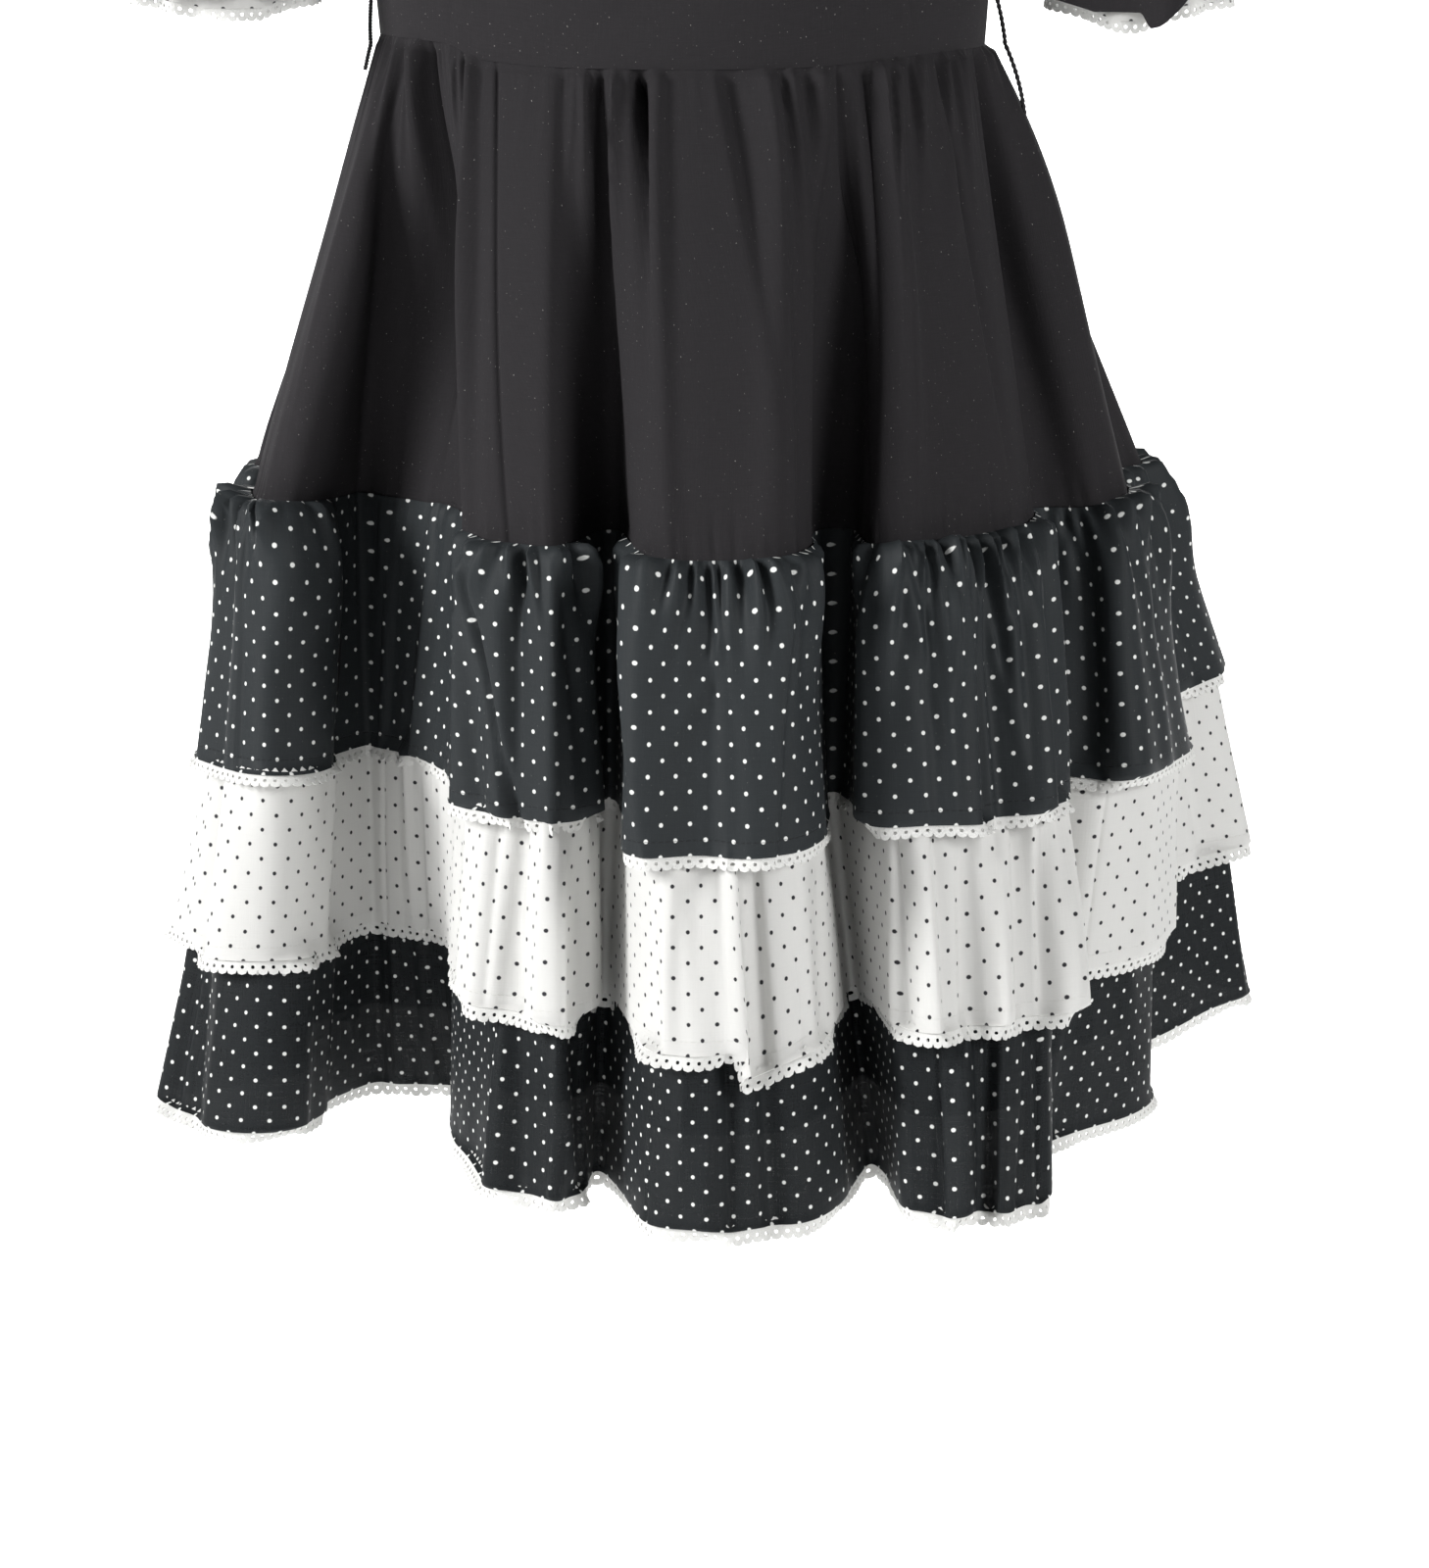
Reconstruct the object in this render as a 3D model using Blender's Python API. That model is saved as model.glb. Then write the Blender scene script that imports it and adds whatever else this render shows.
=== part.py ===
"""A square dance dress: fitted bodice, elbow sleeves, gored skirt and three gathered ruffle tiers.

Metres, +Z up. The origin lies between the shoulders, where the wearer holds the dress up. The front
faces -Y and left and right are the wearer's, so the wearer's left side is at +X. Every piece of cloth
is a thin closed wall. The skirt's pieces share one set of folds, worked out from the table FOLDS.
"""

from collections import namedtuple

import bpy
import numpy as np

# Heights and drops. A drop is measured down from the waist seam.
WAIST_Z = -0.400
SEAM_DROP = 0.210
UPPER_HEM_DROP = 0.333
MIDDLE_TOP_DROP = 0.280
MIDDLE_HEM_DROP = 0.422
LOWER_TOP_DROP = 0.365
LOWER_HEM_DROP = 0.505
UNDERSKIRT_HEM_DROP = 0.465
LACE_DEPTH = 0.0062
UPPER_LACE_DEPTH = 0.0045

# The waist is an ellipse.
WAIST_HALF_WIDTH = 0.142
WAIST_HALF_DEPTH = 0.105

# Walls and gaps
CLOTH = 0.0014
THIN_CLOTH = 0.0012
LACE_WALL = 0.0010
SEAM_GAP = 0.0003
BESIDE = 0.0006

# Colours, roughness of the cloths
BLACK = (0.018, 0.016, 0.018)
DOTTED_BLACK = (0.020, 0.022, 0.025)
WHITE = (0.82, 0.81, 0.78)
LACE_WHITE = (0.86, 0.86, 0.84)

# The big folds, in order round the dress from the wearer's right side by way of the front. Each row
# starts at the furrow before its fold. Angles are degrees from the front, towards the wearer's left.
# start_waist, start and start_hem: the furrow's mouth at the waist, at the ruffle seam and at the hem.
# tuck and tuck_hem: how far the furrow's floor is turned from its mouth. before and after: share of the fold taken by its flanks.
# dip and crown: radius in mm of the furrow's floor and of the fold's crown, at the seam, at the hem of
# the upper ruffle and at the lowest hem. cant: how much further the far edge stands out than the near
# edge. lift: how much higher the hems hang on this fold.
Fold = namedtuple(
    "Fold",
    "name waves start_waist start start_hem tuck tuck_hem before after "
    "dip_seam dip_upper dip_hem crown_seam crown_upper crown_hem cant lift",
)
FOLDS = (
    Fold("right_side", 3, -99, -99, -94, 0, 0, 0.38, 0.22, 158, 176, 186, 207, 237, 256, -28, 0),
    Fold("right_recess", 2, -68, -65, -57, -20, -6, 1.00, 1.00, 156, 158, 160, 172, 170, 112, 0, 0),
    Fold("right_front", 3, -54, -43, -37, -2, -33, 0.32, 0.30, 138, 140, 116, 172, 182, 198, 16, 0),
    Fold("front", 3, -17, -8, -8, -7, 0, 0.18, 0.32, 116, 128, 152, 198, 224, 224, 0, -3),
    Fold("left_front", 4, 40, 22, 24, 10, 0, 0.15, 0.24, 136, 128, 162, 188, 230, 258, 12, 3),
    Fold("left_side", 2, 78, 66, 43, 5, 6, 0.30, 0.30, 176, 186, 197, 210, 244, 226, 28, 0),
    Fold("left_flare", 3, 99, 96, 95, 2, 0, 0.32, 0.32, 186, 215, 225, 240, 290, 306, 0, 14),
    Fold("left_back", 3, 127, 127, 127, 0, 0, 0.36, 0.36, 176, 192, 200, 226, 254, 266, 0, 0),
    Fold("back_left", 3, 157, 157, 157, 0, 0, 0.36, 0.36, 150, 172, 182, 214, 246, 260, 0, 0),
    Fold("back_right", 3, 187, 187, 187, 0, 0, 0.36, 0.36, 152, 170, 180, 218, 250, 262, 0, 0),
    Fold("right_back", 3, 215, 215, 215, 0, 0, 0.36, 0.36, 158, 176, 186, 228, 252, 264, 0, 0),
    Fold("right_flare", 3, 239, 239, 241, 0, 0, 0.34, 0.34, 172, 186, 194, 226, 244, 256, 0, 4),
)
FOLD_LEVELS = (SEAM_DROP, UPPER_HEM_DROP, LOWER_HEM_DROP)
# How far the outermost cloth of each level stands off the underskirt's line, on a crown and in a furrow
CROWN_STANDS = (0.0015, 0.018, 0.011)
DIP_STANDS = (0.0015, 0.0045, 0.003)

# Sections of a ruffle or of the skirt: drop, how far the outer face stands off the underskirt's line in
# a furrow and on a crown, and the height of the small waves.
Section = namedtuple("Section", "drop stand_dip stand_crown wave")
GORE_SECTIONS = (
    Section(SEAM_GAP, 0.0015, 0.0015, 0.0),
    Section(0.030, 0.0015, 0.0015, 0.0),
    Section(0.080, 0.0015, 0.0015, 0.0),
    Section(0.145, 0.0015, 0.0015, 0.0),
    Section(SEAM_DROP - SEAM_GAP, 0.0015, 0.0015, 0.0),
)
UNDERSKIRT_SECTIONS = (
    Section(SEAM_DROP, 0.0, 0.0, 0.0),
    Section(MIDDLE_TOP_DROP, 0.0, 0.0, 0.0),
    Section(UPPER_HEM_DROP, 0.0, 0.0, 0.0),
    Section(LOWER_TOP_DROP, 0.0, 0.0, 0.0),
    Section(MIDDLE_HEM_DROP, 0.0, 0.0, 0.0),
    Section(UNDERSKIRT_HEM_DROP, 0.0, 0.0, 0.0),
)
UPPER_SECTIONS = (
    Section(SEAM_DROP, THIN_CLOTH + BESIDE, THIN_CLOTH + BESIDE, 0.0),
    Section(0.228, 0.0027, 0.0090, 0.0020),
    Section(0.280, 0.0036, 0.0140, 0.0035),
    Section(UPPER_HEM_DROP, 0.0045, 0.0180, 0.0050),
)
MIDDLE_SECTIONS = (
    Section(MIDDLE_TOP_DROP, THIN_CLOTH + BESIDE, THIN_CLOTH + BESIDE, 0.0),
    Section(UPPER_HEM_DROP, 0.0029, 0.0090, 0.0020),
    Section(LOWER_TOP_DROP, 0.0036, 0.0115, 0.0033),
    Section(MIDDLE_HEM_DROP, 0.0044, 0.0160, 0.0055),
)
LOWER_SECTIONS = (
    Section(LOWER_TOP_DROP, THIN_CLOTH + BESIDE, THIN_CLOTH + BESIDE, 0.0),
    Section(MIDDLE_HEM_DROP, 0.0021, 0.0060, 0.0012),
    Section(UNDERSKIRT_HEM_DROP, 0.0026, 0.0086, 0.0032),
    Section(LOWER_HEM_DROP, 0.0030, 0.0110, 0.0050),
)
# The folds are worked out at these drops and run straight between them.
LEVEL_DROPS = (0.0, 0.030, 0.080, 0.145, SEAM_DROP, MIDDLE_TOP_DROP, UPPER_HEM_DROP, LOWER_TOP_DROP,
               MIDDLE_HEM_DROP, UNDERSKIRT_HEM_DROP, LOWER_HEM_DROP, 0.520)

# Where the pieces of the skirt begin and end, counted in waves from the first fold's start. The numbers
# of FOLDS put the side seams at 1 and 16.5 and the centre back at 25.
WAVES = sum(fold.waves for fold in FOLDS)
Piece = namedtuple("Piece", "name start end")
GORES = (
    Piece("skirt_front_right", 1.0, 6.25),
    Piece("skirt_front_centre", 6.25, 10.75),
    Piece("skirt_front_left", 10.75, 16.5),
    Piece("skirt_back_left", 16.5, 25.0),
    Piece("skirt_back_right", 25.0, 36.0),
)
UNDERSKIRT_PANELS = (
    Piece("underskirt_front", 1.0, 16.5),
    Piece("underskirt_back", 16.5, 36.0),
)
Ruffle = namedtuple("Ruffle", "name sections phase lace_depth joins")
RUFFLES = (
    Ruffle("upper", UPPER_SECTIONS, 0.0, UPPER_LACE_DEPTH, (5.75, 17.5, 29.0)),
    Ruffle("middle", MIDDLE_SECTIONS, 0.5, LACE_DEPTH, (3.5, 15.5, 26.5)),
    Ruffle("lower", LOWER_SECTIONS, 0.25, LACE_DEPTH, (8.5, 19.5, 31.5)),
)
RIB_STEP = 0.5
COLUMN_STEP = 0.25
SEAM_HALF_GAP_IN_WAVES = 0.004
GATHERED_FROM = 0.45
LEAST_SPREAD = 0.62

# The bodice: rise above the waist, half width and the depths in front and behind the side line
Level = namedtuple("Level", "rise half_width front back")
BODICE_LEVELS = (
    Level(0.000, WAIST_HALF_WIDTH, WAIST_HALF_DEPTH, WAIST_HALF_DEPTH),
    Level(0.070, 0.147, 0.109, 0.103),
    Level(0.150, 0.157, 0.131, 0.106),
    Level(0.205, 0.157, 0.127, 0.111),
    Level(0.280, 0.160, 0.101, 0.109),
    Level(0.350, 0.169, 0.062, 0.084),
    Level(0.385, 0.175, 0.028, 0.044),
    Level(0.400, 0.178, 0.0, 0.0),
)
SHOULDER_RISE = 0.400
UNDERARM_RISE = 0.205
SHOULDER_SLOPE = 0.42
NECK_POINT_X = 0.085
RIDGE_HALF_GAP = 0.0013
PRINCESS_RISES = (0.0, 0.15, 0.28, 0.40)
PRINCESS_DEGREES = (48.0, 34.0, 36.0, 42.0)
NECK_DEGREES = 28.5
ARMHOLE_DEGREES = 68.0
FRONT_NECK_RISE = 0.290
BACK_NECK_RISE = 0.372
WAIST_DIP_FRONT = 0.006
PANEL_ROWS = (0.0, 0.19, 0.38, 0.53, 0.70, 0.86, 0.95, 1.0)
CENTRE_COLUMNS = (-1.0, -0.84, -0.68, -0.60, -0.45, 0.0, 0.45, 0.60, 0.68, 0.84, 1.0)
SIDE_COLUMNS = (0.0, 0.27, 0.54, 0.62, 0.73, 0.86, 1.0)
BACK_COLUMNS = (0.0, 0.20, 0.28, 0.317, 0.54, 0.755, 0.80, 0.86, 0.93, 1.0)

# Sleeves and their ruffles: the lower end of the sleeve is a ring round the elbow
ELBOW_X = 0.214
ELBOW_Y = -0.008
SLEEVE_END_Z = -0.330
SLEEVE_END_RADIUS = 0.044
CAP_PUFF = 0.022
SLEEVE_COLUMNS = 20
SLEEVE_STEPS = (0.0, 0.18, 0.42, 0.70, 1.0)
UNDERARM_CLEARANCE = 0.0018
RUFFLE_COLUMNS = 32
SLEEVE_WAVES = 8
# Rings of the sleeve ruffles: z, radius of the outer face and height of the waves
Ring = namedtuple("Ring", "z radius wave")
SLEEVE_RUFFLE = (
    Ring(SLEEVE_END_Z - SEAM_GAP, SLEEVE_END_RADIUS, 0.0),
    Ring(-0.345, 0.0510, 0.0020),
    Ring(-0.384, 0.0545, 0.0042),
)
SLEEVE_UNDER_RUFFLE = (
    Ring(SLEEVE_END_Z - SEAM_GAP, SLEEVE_END_RADIUS - THIN_CLOTH - SEAM_GAP, 0.0),
    Ring(-0.3885, 0.0455, 0.0025),
)
SLEEVE_LACE_DEPTH = 0.0050

# Belt carriers: twisted thread, sewn to the side seams above and below the waist
LOOP_THREAD_RADIUS = 0.0008
LOOP_REACH = 0.010
LOOP_TOP = 0.028
LOOP_BOTTOM = -0.030
LOOP_POINTS = 13


def clear_scene():
    for item in list(bpy.data.objects):
        bpy.data.objects.remove(item, do_unlink=True)


def make_material(name, colour, roughness):
    """A Principled cloth finish."""
    material = bpy.data.materials.new(name)
    material.use_nodes = True
    shader = material.node_tree.nodes["Principled BSDF"]
    shader.inputs["Base Color"].default_value = (*colour, 1.0)
    shader.inputs["Roughness"].default_value = roughness
    shader.inputs["Metallic"].default_value = 0.0
    return material


def ease(x):
    """A smooth step from 0 to 1."""
    x = np.clip(x, 0.0, 1.0)
    return x * x * (3.0 - 2.0 * x)


def column(name):
    """One named column of the table FOLDS."""
    return np.array([getattr(fold, name) for fold in FOLDS], float)


FOLD_STARTS = np.concatenate([[0.0], np.cumsum(column("waves"))])


def place_in_fold(cloth):
    """The fold that each cloth place, counted in waves, lies on, and how far across it that is."""
    cloth = np.asarray(cloth, float) % WAVES
    fold = np.searchsorted(FOLD_STARTS, cloth, side="right") - 1
    return fold, (cloth - FOLD_STARTS[fold]) / column("waves")[fold]


def flanks(fold, across):
    """How far up the fold's first and last flank each place is, 1 on the crown."""
    first = ease(across / column("before")[fold])
    last = ease((1.0 - across) / column("after")[fold])
    return first, last


def crown_share(cloth):
    """1 on the crown of a fold and 0 on the floor of a furrow."""
    first, last = flanks(*place_in_fold(cloth))
    return first * last


def radii(kind, stands, drop):
    """Radius of the underskirt's line for each fold's dip or crown at this drop."""
    levels = [column(f"{kind}_{end}") / 1000 - stand for end, stand in zip(("seam", "upper", "hem"), stands)]
    return np.array([np.interp(drop, FOLD_LEVELS, row) for row in zip(*levels)])


def waist_radius(angle):
    wide = np.sin(angle) / WAIST_HALF_WIDTH
    deep = np.cos(angle) / WAIST_HALF_DEPTH
    return 1.0 / np.hypot(wide, deep) - CROWN_STANDS[0]


def fold_line(cloth, drop):
    """Plan of the underskirt's line at this drop, x and y for each cloth place."""
    fold, across = place_in_fold(cloth)
    following = (fold + 1) % len(FOLDS)
    grown = np.clip(drop / SEAM_DROP, 0.0, 1.0)
    lower = np.clip((drop - SEAM_DROP) / (LOWER_HEM_DROP - SEAM_DROP), 0.0, 1.0)
    starts = column("start_waist") + (column("start") - column("start_waist")) * grown
    starts = starts + (column("start_hem") - column("start")) * lower
    tucks = column("tuck") * grown + column("tuck_hem") * lower
    first, last = flanks(fold, across)
    turn = starts[following] + np.where(following == 0, 360.0, 0.0) - starts[fold]
    degrees = starts[fold] + turn * across
    degrees = degrees + tucks[fold] * (1.0 - first) + tucks[following] * (1.0 - last)
    angle = np.radians(degrees)
    dips = radii("dip", DIP_STANDS, drop)
    dip = dips[fold] + (dips[following] - dips[fold]) * ease(across)
    cant = column("cant")[fold] / 1000 * (2.0 * across - 1.0) * (0.35 + 0.65 * lower)
    reach = dip + (radii("crown", CROWN_STANDS, drop)[fold] + cant - dip) * first * last
    waist = waist_radius(angle)
    radius = waist + (reach - waist) * grown**0.95
    return np.stack([radius * np.sin(angle), -radius * np.cos(angle)], -1)


def unit(vectors):
    return vectors / np.linalg.norm(vectors, axis=-1, keepdims=True)


def outward(cloth, drop):
    """How the line moves for each metre that a face stands off it, more at its corners."""
    here = fold_line(cloth, drop)
    before = unit(here - fold_line(cloth - RIB_STEP, drop))
    after = unit(fold_line(cloth + RIB_STEP, drop) - here)
    along = unit(before + after)
    spread = np.clip((along * before).sum(axis=-1), LEAST_SPREAD, 1.0)
    return np.stack([along[..., 1], -along[..., 0]], -1) / spread[..., None]


def between_ribs(field, cloth, drop):
    """A field of the cloth taken at the ribs, every half wave, and run straight between them."""
    low = np.floor(cloth / RIB_STEP + 1e-6) * RIB_STEP
    share = ((cloth - low) / RIB_STEP)[..., None]
    return field(low, drop) * (1.0 - share) + field(low + RIB_STEP, drop) * share


def between_levels(field, cloth, drop):
    """The same field run straight between the levels above and below a drop."""
    upper = max(level for level in LEVEL_DROPS if level <= drop)
    lower = min(level for level in LEVEL_DROPS if level > drop)
    share = (drop - upper) / (lower - upper)
    return between_ribs(field, cloth, upper) * (1.0 - share) + between_ribs(field, cloth, lower) * share


def waist_seam_dip(x, y):
    """The waist seam hangs lower at the centre front."""
    forward = np.clip(-y / WAIST_HALF_DEPTH, 0.0, 1.0)
    return WAIST_DIP_FRONT * forward * ease(1.5 - np.abs(x) / 0.100)


def hem_lift(cloth, drop):
    share = np.clip((drop - SEAM_DROP) / (UPPER_HEM_DROP - SEAM_DROP), 0.0, 1.0)
    fold, _ = place_in_fold(cloth)
    return column("lift")[fold] / 1000 * crown_share(cloth) * share


def cloth_row(section, cloth, phase, inset):
    """Points of one row of a skirt piece, with its face moved in by inset."""
    puff = crown_share(cloth) ** 4
    wave = -np.cos(2.0 * np.pi * (cloth + phase)) * section.wave
    stand = section.stand_dip + (section.stand_crown - section.stand_dip + wave) * puff - inset
    plan = between_levels(fold_line, cloth, section.drop)
    plan = plan + stand[:, None] * between_levels(outward, cloth, section.drop)
    height = WAIST_Z - section.drop + hem_lift(cloth, section.drop)
    height = height - waist_seam_dip(plan[:, 0], plan[:, 1]) * (1.0 - np.clip(section.drop / 0.08, 0.0, 1.0))
    return np.column_stack([plan, height])


def column_places(start, end, gathered):
    """Cloth places of the columns: every rib, and halfway between them on a gathered fold's crown."""
    places = np.arange(start, end + COLUMN_STEP / 2, COLUMN_STEP)
    on_rib = np.abs(places / RIB_STEP - np.round(places / RIB_STEP)) < 1e-6
    on_rib[[0, -1]] = True
    return places[on_rib | (gathered & (crown_share(places) > GATHERED_FROM))]


def piece_columns(piece, gathered):
    """Columns of one piece, its two ends drawn back from the seams."""
    columns = column_places(piece.start, piece.end, gathered)
    columns[0] += SEAM_HALF_GAP_IN_WAVES
    columns[-1] -= SEAM_HALF_GAP_IN_WAVES
    return columns


def grid_faces(points, closed, shorter_split):
    """Triangles of a grid of points, split one way, or along each square's shorter diagonal."""
    rows, columns = points.shape[:2]
    spans = columns if closed else columns - 1
    flat = points.reshape(-1, 3)
    faces = []
    for row in range(rows - 1):
        for place in range(spans):
            beside = (place + 1) % columns
            upper, lower = row * columns, (row + 1) * columns
            a, b, c, d = upper + place, lower + place, lower + beside, upper + beside
            falling = np.linalg.norm(flat[a] - flat[c])
            rising = np.linalg.norm(flat[b] - flat[d])
            if shorter_split and rising < falling:
                faces += [(a, b, d), (b, c, d)]
            else:
                faces += [(a, b, c), (a, c, d)]
    return faces


def add_wall(name, outer, inner, material, closed=False, shorter_split=False):
    """A closed wall between two grids of points whose rows run downwards."""
    rows, columns = outer.shape[:2]
    count = rows * columns
    faces = grid_faces(outer, closed, shorter_split)
    faces += [tuple(count + i for i in reversed(face)) for face in faces]
    spans = columns if closed else columns - 1
    bottom = (rows - 1) * columns
    for place in range(spans):
        beside = (place + 1) % columns
        faces.append((place, beside, count + beside, count + place))
        faces.append((bottom + beside, bottom + place, count + bottom + place, count + bottom + beside))
    if not closed:
        for row in range(rows - 1):
            near, below = row * columns, (row + 1) * columns
            faces.append((near, count + near, count + below, below))
            far, below = near + columns - 1, below + columns - 1
            faces.append((far, below, count + below, count + far))
    mesh = bpy.data.meshes.new(name)
    points = np.concatenate([outer.reshape(-1, 3), inner.reshape(-1, 3)])
    mesh.from_pydata([tuple(map(float, point)) for point in points], [], faces)
    mesh.update()
    mesh.shade_smooth()
    mesh.set_sharp_from_angle(angle=np.radians(50.0))
    mesh.materials.append(material)
    item = bpy.data.objects.new(name, mesh)
    bpy.context.scene.collection.objects.link(item)
    return item


def add_cloth(piece, sections, phase, wall, gathered, material):
    """One piece of the skirt, as a wall of cloth between its sections."""
    columns = piece_columns(piece, gathered)
    outer = np.array([cloth_row(section, columns, phase, 0.0) for section in sections])
    inner = np.array([cloth_row(section, columns, phase, wall) for section in sections])
    add_wall(piece.name, outer, inner, material)


def add_skirt(black):
    for piece in GORES:
        add_cloth(piece, GORE_SECTIONS, 0.0, CLOTH, False, black)
    for piece in UNDERSKIRT_PANELS:
        add_cloth(piece, UNDERSKIRT_SECTIONS, 0.0, THIN_CLOTH, False, black)


def strips(ruffle):
    """The strips that a ruffle is pieced from, numbered round the dress."""
    ends = ruffle.joins + (ruffle.joins[0] + WAVES,)
    for number, (start, end) in enumerate(zip(ends, ends[1:]), start=1):
        yield Piece(f"ruffle_{ruffle.name}_{number}", start, end)


def add_ruffle(ruffle, cloth, lace):
    """A gathered tier with its lace edging, a separate ring just below the hem."""
    for strip in strips(ruffle):
        add_cloth(strip, ruffle.sections, ruffle.phase, THIN_CLOTH, True, cloth)
    hem = ruffle.sections[-1]
    columns = column_places(0.0, WAVES - COLUMN_STEP, True)
    drops = (hem.drop + SEAM_GAP, hem.drop + ruffle.lace_depth)
    inset = (THIN_CLOTH - LACE_WALL) / 2
    outer = [cloth_row(hem._replace(drop=drop), columns, ruffle.phase, inset) for drop in drops]
    inner = [cloth_row(hem._replace(drop=drop), columns, ruffle.phase, inset + LACE_WALL) for drop in drops]
    add_wall(f"lace_{ruffle.name}", np.array(outer), np.array(inner), lace, closed=True)


def bodice_point(degrees, rise, side):
    """A point of the bodice's outer face. side is -1 on the front and 1 on the back."""
    rises = [level.rise for level in BODICE_LEVELS]
    width = np.interp(rise, rises, [level.half_width for level in BODICE_LEVELS])
    depths = [level.front if side < 0 else level.back for level in BODICE_LEVELS]
    depth = np.interp(rise, rises, depths)
    angle = np.radians(degrees)
    x = width * np.sin(angle)
    y = side * (depth * np.cos(angle) + RIDGE_HALF_GAP * np.clip(rise / SHOULDER_RISE, 0.0, 1.0) ** 4)
    slope = SHOULDER_SLOPE * np.clip(np.abs(x) - NECK_POINT_X, 0.0, None)
    z = WAIST_Z + rise - slope * (rise / SHOULDER_RISE) ** 3
    z = z - waist_seam_dip(x, y) * np.clip(1.0 - rise / 0.07, 0.0, 1.0)
    return np.stack([x, y, z], -1)


def bodice_normal(degrees, rise, side):
    """Direction out of the bodice's face."""
    turn = bodice_point(degrees + 1.0, rise, side) - bodice_point(degrees - 1.0, rise, side)
    climb = bodice_point(degrees, rise + 0.004, side) - bodice_point(degrees, rise - 0.004, side)
    return unit(np.cross(turn, climb) * -side)


def princess_degrees(rise):
    return np.interp(rise, PRINCESS_RISES, PRINCESS_DEGREES)


def neck_rise(share, lowest):
    """The neckline, from the centre, share 0, to the neck point, share 1."""
    return lowest + (SHOULDER_RISE - lowest) * np.clip(np.abs(share), 0.0, 1.0) ** 3


def armhole_rise(share):
    """The armhole's edge, from the shoulder, share 0, to the underarm, share 1."""
    return UNDERARM_RISE + (SHOULDER_RISE - UNDERARM_RISE) * (1.0 - np.clip(share, 0.0, 1.0)) ** 2.5


def panel_degrees(kind, column_share, rise):
    """Angle of a panel's column, before it is turned to its side of the body."""
    if kind == "centre":
        return column_share * princess_degrees(rise)
    if kind == "side":
        edge = princess_degrees(rise)
        return edge + column_share * (90.0 - edge)
    return column_share * 90.0


def panel_top(kind, column_share):
    """Where a panel's column ends: at the neckline, the shoulder seam or the armhole."""
    if kind == "centre":
        return neck_rise(column_share / (NECK_DEGREES / PRINCESS_DEGREES[-1]), FRONT_NECK_RISE)
    if kind == "back":
        neck = neck_rise(column_share / (NECK_DEGREES / 90.0), BACK_NECK_RISE)
        start = ARMHOLE_DEGREES / 90.0
        return min(neck, armhole_rise((column_share - start) / (1.0 - start)))
    start = (ARMHOLE_DEGREES - PRINCESS_DEGREES[-1]) / (90.0 - PRINCESS_DEGREES[-1])
    return armhole_rise((column_share - start) / (1.0 - start))


def drawn_back(shares, gap_degrees, turn):
    """Column places with the two ends drawn back from the seams."""
    shares = np.array(shares, float)
    shares[0] += gap_degrees / turn
    shares[-1] -= gap_degrees / turn
    return shares


def add_bodice_panel(name, kind, mirror, side, material):
    """One bodice panel. mirror is 1 on the wearer's left and -1 on the right."""
    places = {"centre": CENTRE_COLUMNS, "side": SIDE_COLUMNS, "back": BACK_COLUMNS}[kind]
    shares = drawn_back(places, 0.10, {"centre": 48.0, "side": 42.0, "back": 90.0}[kind])
    outer, inner = [], []
    for row in reversed(PANEL_ROWS):
        rise = np.array([row * panel_top(kind, share) for share in shares])
        rise = rise + SEAM_GAP * (1.0 - row)
        degrees = np.array([panel_degrees(kind, share, up) for share, up in zip(shares, rise)])
        face = bodice_point(degrees * mirror, rise, side)
        outer.append(face)
        inner.append(face - CLOTH * bodice_normal(degrees * mirror, rise, side))
    outer, inner = np.array(outer), np.array(inner)
    if mirror * side > 0:
        outer, inner = outer[:, ::-1], inner[:, ::-1]
    add_wall(name, outer, inner, material, shorter_split=True)


def add_bodice(black):
    add_bodice_panel("bodice_front_centre", "centre", 1, -1, black)
    for name, mirror in (("left", 1), ("right", -1)):
        add_bodice_panel(f"bodice_front_{name}", "side", mirror, -1, black)
        add_bodice_panel(f"bodice_back_{name}", "back", mirror, 1, black)


def armhole_ring(mirror):
    """Points round the armhole's edge: shoulder, front, underarm, back."""
    turn = np.arange(SLEEVE_COLUMNS) / SLEEVE_COLUMNS * 2.0
    ring = []
    for place in turn:
        side = -1 if place < 1.0 else 1
        share = place if place < 1.0 else 2.0 - place
        share = share**1.4
        degrees = ARMHOLE_DEGREES + share * (90.0 - ARMHOLE_DEGREES)
        ring.append(bodice_point(np.array(degrees * mirror), np.array(armhole_rise(share)), side))
    return np.array(ring)


def arm_circle(columns, mirror):
    """Unit circle in plan: outer side, front, inner side, back."""
    turn = np.arange(columns) / columns * 2.0 * np.pi
    return np.stack([mirror * np.cos(turn), -np.sin(turn), np.zeros(columns)], -1)


def sleeve_rows(mirror, inset):
    """Rows of a sleeve from the armhole to the elbow, curved like a gathered cap."""
    circle = arm_circle(SLEEVE_COLUMNS, mirror)
    root = armhole_ring(mirror)
    middle = root.mean(axis=0)
    inner_side = np.clip(-mirror * circle[:, 0], 0.0, 1.0)
    around = unit((root - middle) * (0.0, 1.0, 1.0))
    start = root + np.array([mirror, 0.0, 0.0]) * (BESIDE + UNDERARM_CLEARANCE * inner_side)[:, None]
    start = start + around * (CLOTH - inset)
    elbow = np.array([mirror * ELBOW_X, ELBOW_Y, SLEEVE_END_Z])
    end = elbow + circle * (SLEEVE_END_RADIUS - inset)
    puff = circle * (CAP_PUFF * (1.0 - inner_side))[:, None]
    bend = np.column_stack([end[:, :2] + puff[:, :2], start[:, 2] + 0.012 * (1.0 - inner_side) - 0.006])
    rows = []
    for step in SLEEVE_STEPS:
        rows.append((1.0 - step) ** 2 * start + 2.0 * step * (1.0 - step) * bend + step**2 * end)
    return np.array(rows)


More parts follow.
